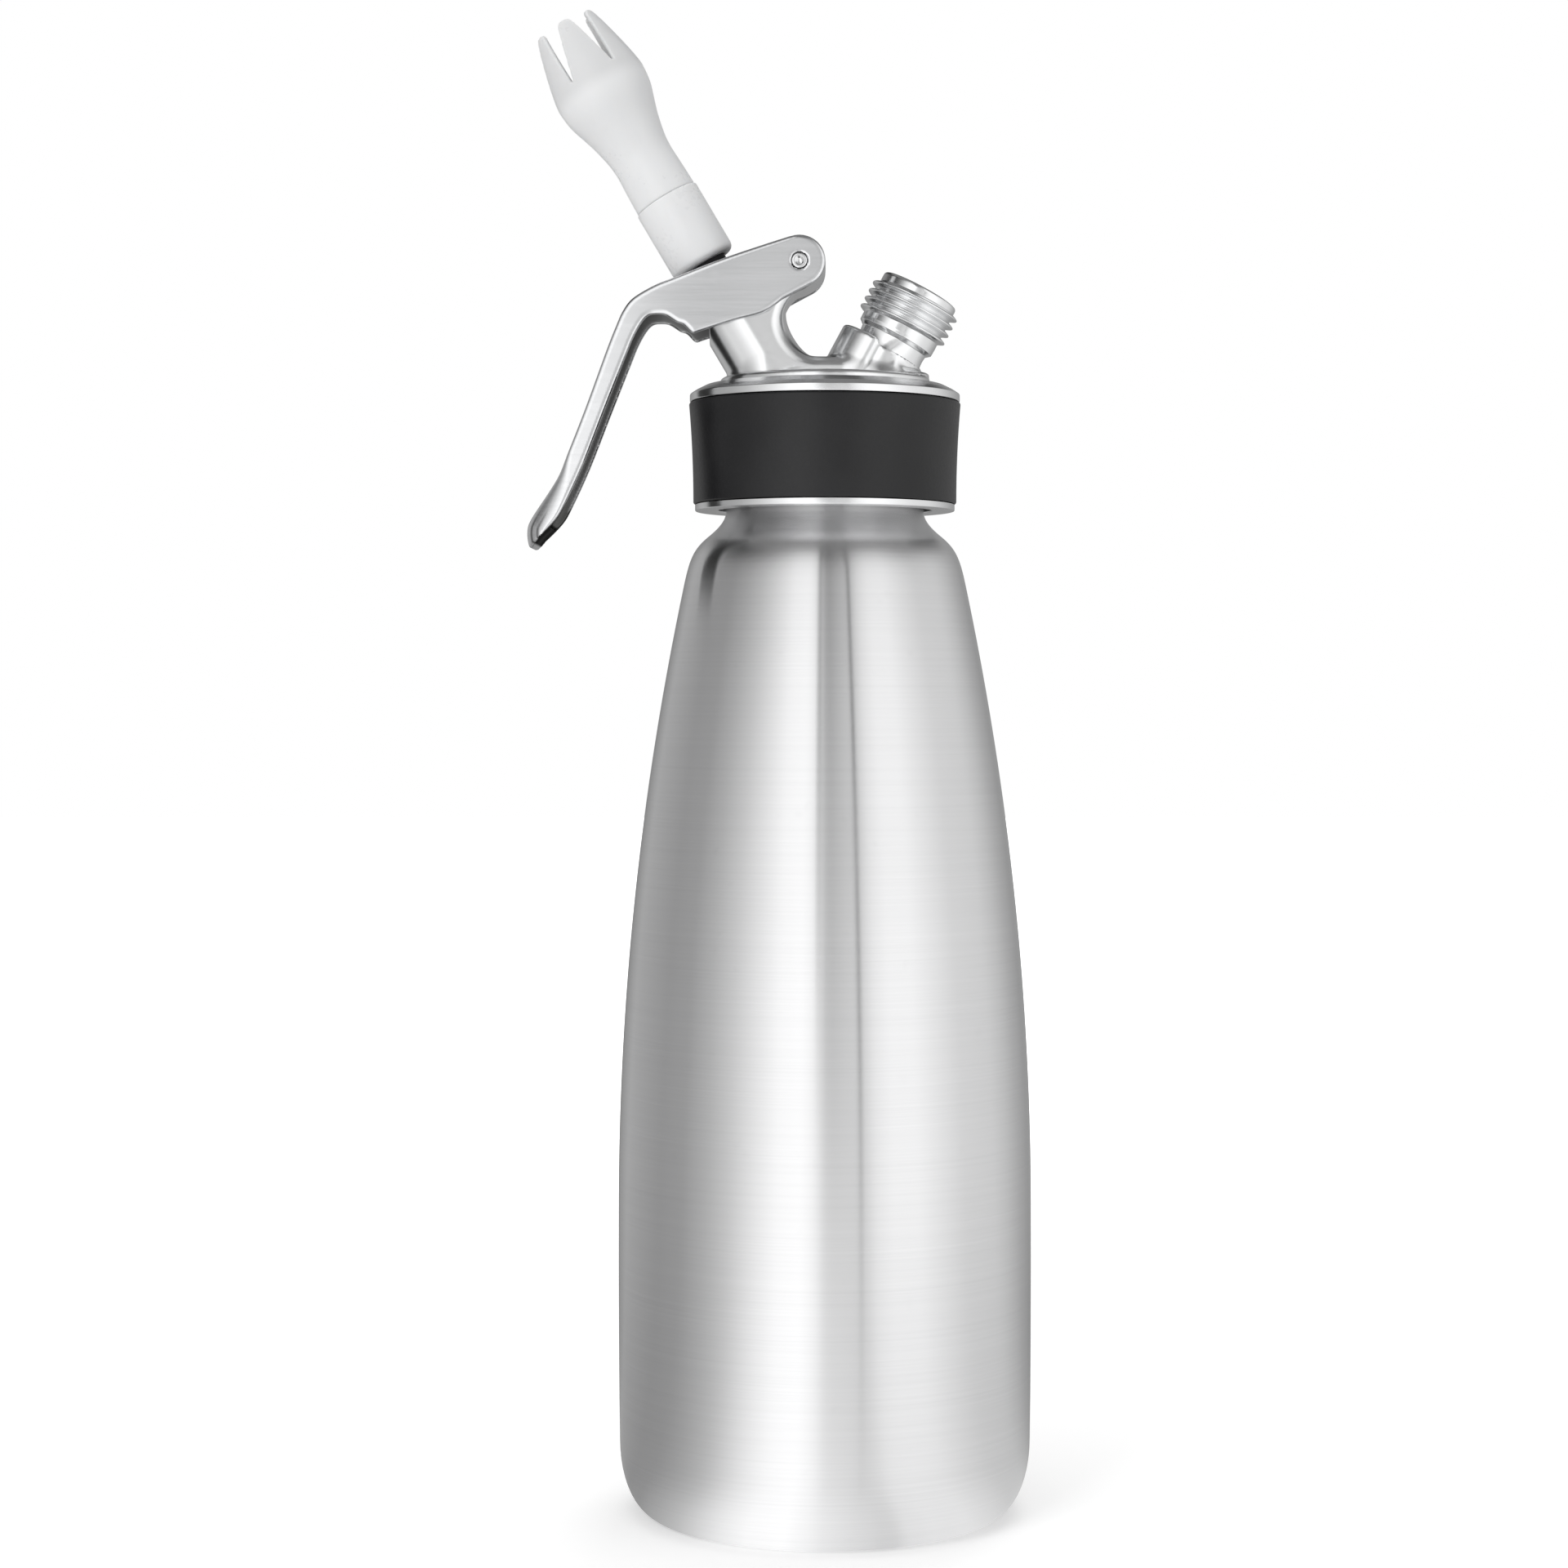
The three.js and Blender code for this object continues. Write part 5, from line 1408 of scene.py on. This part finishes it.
SEAL_LOW = -8.8
SEAL_CORNERS = [
    (1.4, SEAL_LOW, 0.2), (4.9, SEAL_LOW, 0.3), (4.9, SEAL_LOW + 1.4, 0.4),
    (3.4, SEAL_LOW + 1.4, 0.3), (2.6, SEAL_LOW + 1.1, 0.3), (1.4, SEAL_LOW + 1.2, 0.3),
]
seal = rounded(SEAL_CORNERS, True)
turned_piece("port_seal", seal, port_axis, SEAL_RUBBER, "head", "charger_seal", steps=48)

# %% [markdown]
# ## The hinge pin
#
# The pin is a rivet: polished, with a broken edge and a dimple left by the punch in each end. The
# dimple catches a bright point in the photograph. A turned outline gives all of it.

# %% Hinge pin
PIN_HALF = 11.0
pin_side = [
    (0.0, -PIN_HALF + 0.6), (0.5, -PIN_HALF + 0.5, 0.2), (1.1, -PIN_HALF, 0.15),
    (RIVET_RADIUS, -PIN_HALF, 0.4), (RIVET_RADIUS, PIN_HALF, 0.4),
    (1.1, PIN_HALF, 0.15), (0.5, PIN_HALF - 0.5, 0.2), (0.0, PIN_HALF - 0.6),
]
rivet_mesh = turned_mesh("rivet", rounded(pin_side, False), POLISHED_STEEL, steps=48, closed=False)
finish_piece("hinge_rivet", rivet_mesh, hinge_axis, POLISHED_STEEL, "head", "hinge_pin")

# %% [markdown]
# ## The sleeve and the collar
#
# Between the lever and the tip sits a black nylon sleeve with a flange that the lever's lugs press,
# and a short thread that the tip screws on. The tip's collar is a plain moulded ring with a soft
# foot edge and a fine seam under the tulip. Both are turned forms.

# %% Sleeve and collar
SLEEVE_THREAD = thread_sizes(
    4.0, pitch=2.0, depth=0.8, low=3.5, turns=2.5, root_width=1.1, crest_width=0.45, ease=0.15
)
SLEEVE_CORNERS = [
    (3.3, -8.9, 0.2), (7.5, -8.9, 0.4), (7.5, -7.1, 0.4), (4.0, -7.1, 0.3), (4.0, -3.1, 0.3),
    (5.1, -3.1, 0.3), (5.1, -0.1, 0.3), (4.0, -0.1, 0.1), (4.0, 10.8, 0.3), (2.4, 10.8, 0.3),
    (2.4, -1.9, 0.1), (3.3, -1.9, 0.1),
]
sleeve = rounded(SLEEVE_CORNERS, True)
sleeve_mesh = turned_mesh("sleeve", sleeve, ADAPTER_PLASTIC, steps=64, thread=SLEEVE_THREAD)
finish_piece(
    "valve_sleeve", sleeve_mesh, valve_axis, ADAPTER_PLASTIC, "valve", "stem_adapter"
)

COLLAR_TOP = 16.5
COLLAR_FOOT = -1.0
COLLAR_RADIUS = 7.8
FOOT_START = (6.0, COLLAR_FOOT)
FOOT_END = (COLLAR_RADIUS, COLLAR_FOOT + 1.9)
collar_corners = [
    (5.3, COLLAR_FOOT, 0.2),
    FOOT_START,
    *bezier(FOOT_START, (7.1, COLLAR_FOOT), (COLLAR_RADIUS, COLLAR_FOOT + 0.7), FOOT_END, 7),
    (COLLAR_RADIUS, COLLAR_TOP, 0.4), (5.1, COLLAR_TOP, 0.1), (5.1, COLLAR_TOP - 1.6, 0.1),
    (3.2, COLLAR_TOP - 1.6, 0.2), (3.2, 11.6, 0.2), (6.3, 11.6, 0.2), (6.3, 1.0, 0.2), (5.3, 0.0, 0.2),
]
collar = rounded(collar_corners, True)
turned_piece("collar", collar, valve_axis, TIP_PLASTIC, "valve", "tip_collar")

# %% [markdown]
# ## The tulip
#
# The tulip is moulded in one with six tapering slits that press the cream into a star. It has six
# equal parts, so the distance is worked out for one of them and every point is folded into it. The
# tines end in rounded points, and each slit starts in a small round hole.

# %% Tulip
TULIP_FOOT = COLLAR_TOP
TULIP_LENGTH = 46.5
TULIP_END = TULIP_FOOT + TULIP_LENGTH
TULIP_WALL = 1.3
TULIP_BORE = 3.2
BORE_LOW = -1.7
CUP_FLOOR = 2.0
SPIGOT_RADIUS = 4.8
SPIGOT_LOW = -1.6
SPIGOT_TOP = 1.0
SLIT_COUNT = 6
SLIT_AZIMUTH = math.radians(1.0)
SLIT_LENGTH = 13.8
SLIT_FOOT = TULIP_END - SLIT_LENGTH
SLIT_HALF = 0.3
SLIT_SLOPE = 2.0 / SLIT_LENGTH
SLIT_LEAN = 0.98
TULIP_SIDE = (
    (7.5, 0.0), (7.4, 3.2), (7.3, 6.2), (7.15, 10.1), (7.4, 13.4), (8.4, 18.1), (9.5, 21.7),
    (10.65, 25.4), (11.1, 29.0), (11.05, 31.0), (10.5, 34.3), (9.6, 38.4), (8.5, 43.0), (7.5, 46.5),
)
side_radius, side_height = np.array(smooth_path(TULIP_SIDE, 6)).T
side_slope = np.gradient(side_radius, side_height)


def tulip_distance(x, y, z):
    """One sixth of the tulip's wall, folded round, with its slit and tine ends."""
    radius = np.hypot(x, y)
    along = z - TULIP_FOOT
    outer_radius = np.interp(along, side_height, side_radius)
    lean = 1 / np.sqrt(1 + np.interp(along, side_height, side_slope) ** 2)
    outer = (radius - outer_radius) * lean
    inner = (radius - (outer_radius - TULIP_WALL)) * lean
    bore = np.maximum(radius - TULIP_BORE, BORE_LOW - along)
    cup = both(inner, CUP_FLOOR - along, 1.5)
    body = both(outer, np.maximum(along - TULIP_LENGTH, -along), 0.35)
    spigot = both(radius - SPIGOT_RADIUS, np.maximum(SPIGOT_LOW - along, along - SPIGOT_TOP), 0.2)
    body = without(np.minimum(body, spigot), np.minimum(cup, bore), 0.3)
    part = 2 * math.pi / SLIT_COUNT
    turn = np.mod(np.arctan2(y, x) - SLIT_AZIMUTH + part / 2, part) - part / 2
    aside = radius * np.abs(np.sin(turn))
    above = z - SLIT_FOOT
    slit = (aside - SLIT_HALF - SLIT_SLOPE * np.maximum(above, 0)) * SLIT_LEAN
    slit = both(slit, -above, 0.28)
    tine = both(-slit, z - TULIP_END, 1.25)
    return both(body, tine, 0.3)


tulip_mesh = field_mesh("tulip", tulip_distance, (-12.2, -12.2, 14.4), (12.2, 12.2, 64), 0.34)
finish_piece("tulip", tulip_mesh, valve_axis, TIP_PLASTIC, "valve", "tulip_tip", 60)

# %% [markdown]
# ## The valve spring
#
# A compression spring inside the tower pushes the valve shut. It is five turns of round wire whose
# first and last turns lie close. A Geometry Nodes tree winds it from its sizes.

# %% Spring
SPRING_WIRE = 0.6
SPRING_SIZES = {"Radius": 4.95, "Wire": SPRING_WIRE, "Low": 0.0, "Height": 12.5, "Turns": 5.0, "Close": 1.25}


def spring_tree():
    """A wound wire with close end turns."""
    inputs = [("Geometry", GEOMETRY, None)]
    inputs += [(label, FLOAT, value) for label, value in SPRING_SIZES.items()]
    inputs.append(("Material", "NodeSocketMaterial", None))
    tree, size, out = new_group("wound_spring", "GeometryNodeTree", inputs, [("Geometry", GEOMETRY)])
    line = shaped(tree, "GeometryNodeCurvePrimitiveLine", {"End": (0.0, 0.0, 1.0)})
    line = shaped(tree, "GeometryNodeResampleCurve", {"Curve": line, "Count": 180})
    share = tree.nodes.new("GeometryNodeSplineParameter").outputs["Factor"]
    wound = product(tree, share, size["Turns"])
    angle = product(tree, wound, 2 * math.pi)
    middle = calc(tree, "SUBTRACT", size["Turns"], 2.0)
    first = calc(tree, "MINIMUM", wound, 1.0)
    last = calc(tree, "MAXIMUM", calc(tree, "SUBTRACT", wound, calc(tree, "ADD", middle, 1.0)), 0.0)
    free = calc(tree, "SUBTRACT", calc(tree, "SUBTRACT", wound, first), last)
    free_height = calc(tree, "MULTIPLY_ADD", size["Close"], -2.0, size["Height"])
    ends = product(tree, calc(tree, "ADD", first, last), size["Close"])
    rise = calc(tree, "MULTIPLY_ADD", free, calc(tree, "DIVIDE", free_height, middle), ends)
    x, y = (product(tree, calc(tree, kind, angle), size["Radius"]) for kind in ("COSINE", "SINE"))
    place = vector(tree, x, y, calc(tree, "ADD", rise, size["Low"]))
    coil = shaped(tree, "GeometryNodeSetPosition", {"Geometry": line, "Position": place})
    wire = {"Resolution": 12, "Radius": size["Wire"]}
    section = shaped(tree, "GeometryNodeCurvePrimitiveCircle", wire)
    put_out(tree, out, swept(tree, coil, section, True), size["Material"])
    return tree


SPRING_LOW = -22.3
SPRING_HEIGHT = 12.5
spring_values = {"Low": SPRING_LOW, "Height": SPRING_HEIGHT, "Material": POLISHED_STEEL}
spring_mesh = run_tree(spring_tree(), "spring", bpy.data.meshes.new("spring"), spring_values)
spring = finish_piece(
    "closing_spring", spring_mesh, valve_axis, POLISHED_STEEL, "head", "valve_spring"
)
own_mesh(spring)

# %% [markdown]
# ## The CAD nodes that stay
#
# The stem, its guide and seals, the tip's thread insert, the check valve and the head's gasket are
# simple turned shapes that hardly show, so their CAD meshes stay and only get their finish.

# %% Finishes for the CAD nodes
KEPT_NODES = {
    "head_gasket": GASKET_SILICONE,
    "valve_stem": POLISHED_STEEL,
    "stem_guide": GUIDE_PLASTIC,
    "stem_o_ring": SEAL_RUBBER,
    "plunger_seal": SEAL_RUBBER,
    "plunger_retainer": POLISHED_STEEL,
    "tip_insert": POLISHED_STEEL,
    "pin_seal": SEAL_RUBBER,
    "gas_check_valve": SEAL_RUBBER,
}
for node_name, finish in KEPT_NODES.items():
    for material_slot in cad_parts[node_name].material_slots:
        material_slot.material = finish
print("kept CAD nodes:", sorted(KEPT_NODES))

# %% [markdown]
# ## Closing the scene
#
# The view stays plain, so that colours come out as written. The boxes of the CAD model and of the
# finished model are printed.

# %% Sizes and finish
bpy.context.scene.view_settings.view_transform = "Standard"
boxes = {
    "cad": [list(corner) for corner in cad_box],
    "visual": [list(corner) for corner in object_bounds()],
}
for label, corners in boxes.items():
    print(label, [[round(v / MM, 1) for v in corner] for corner in corners])
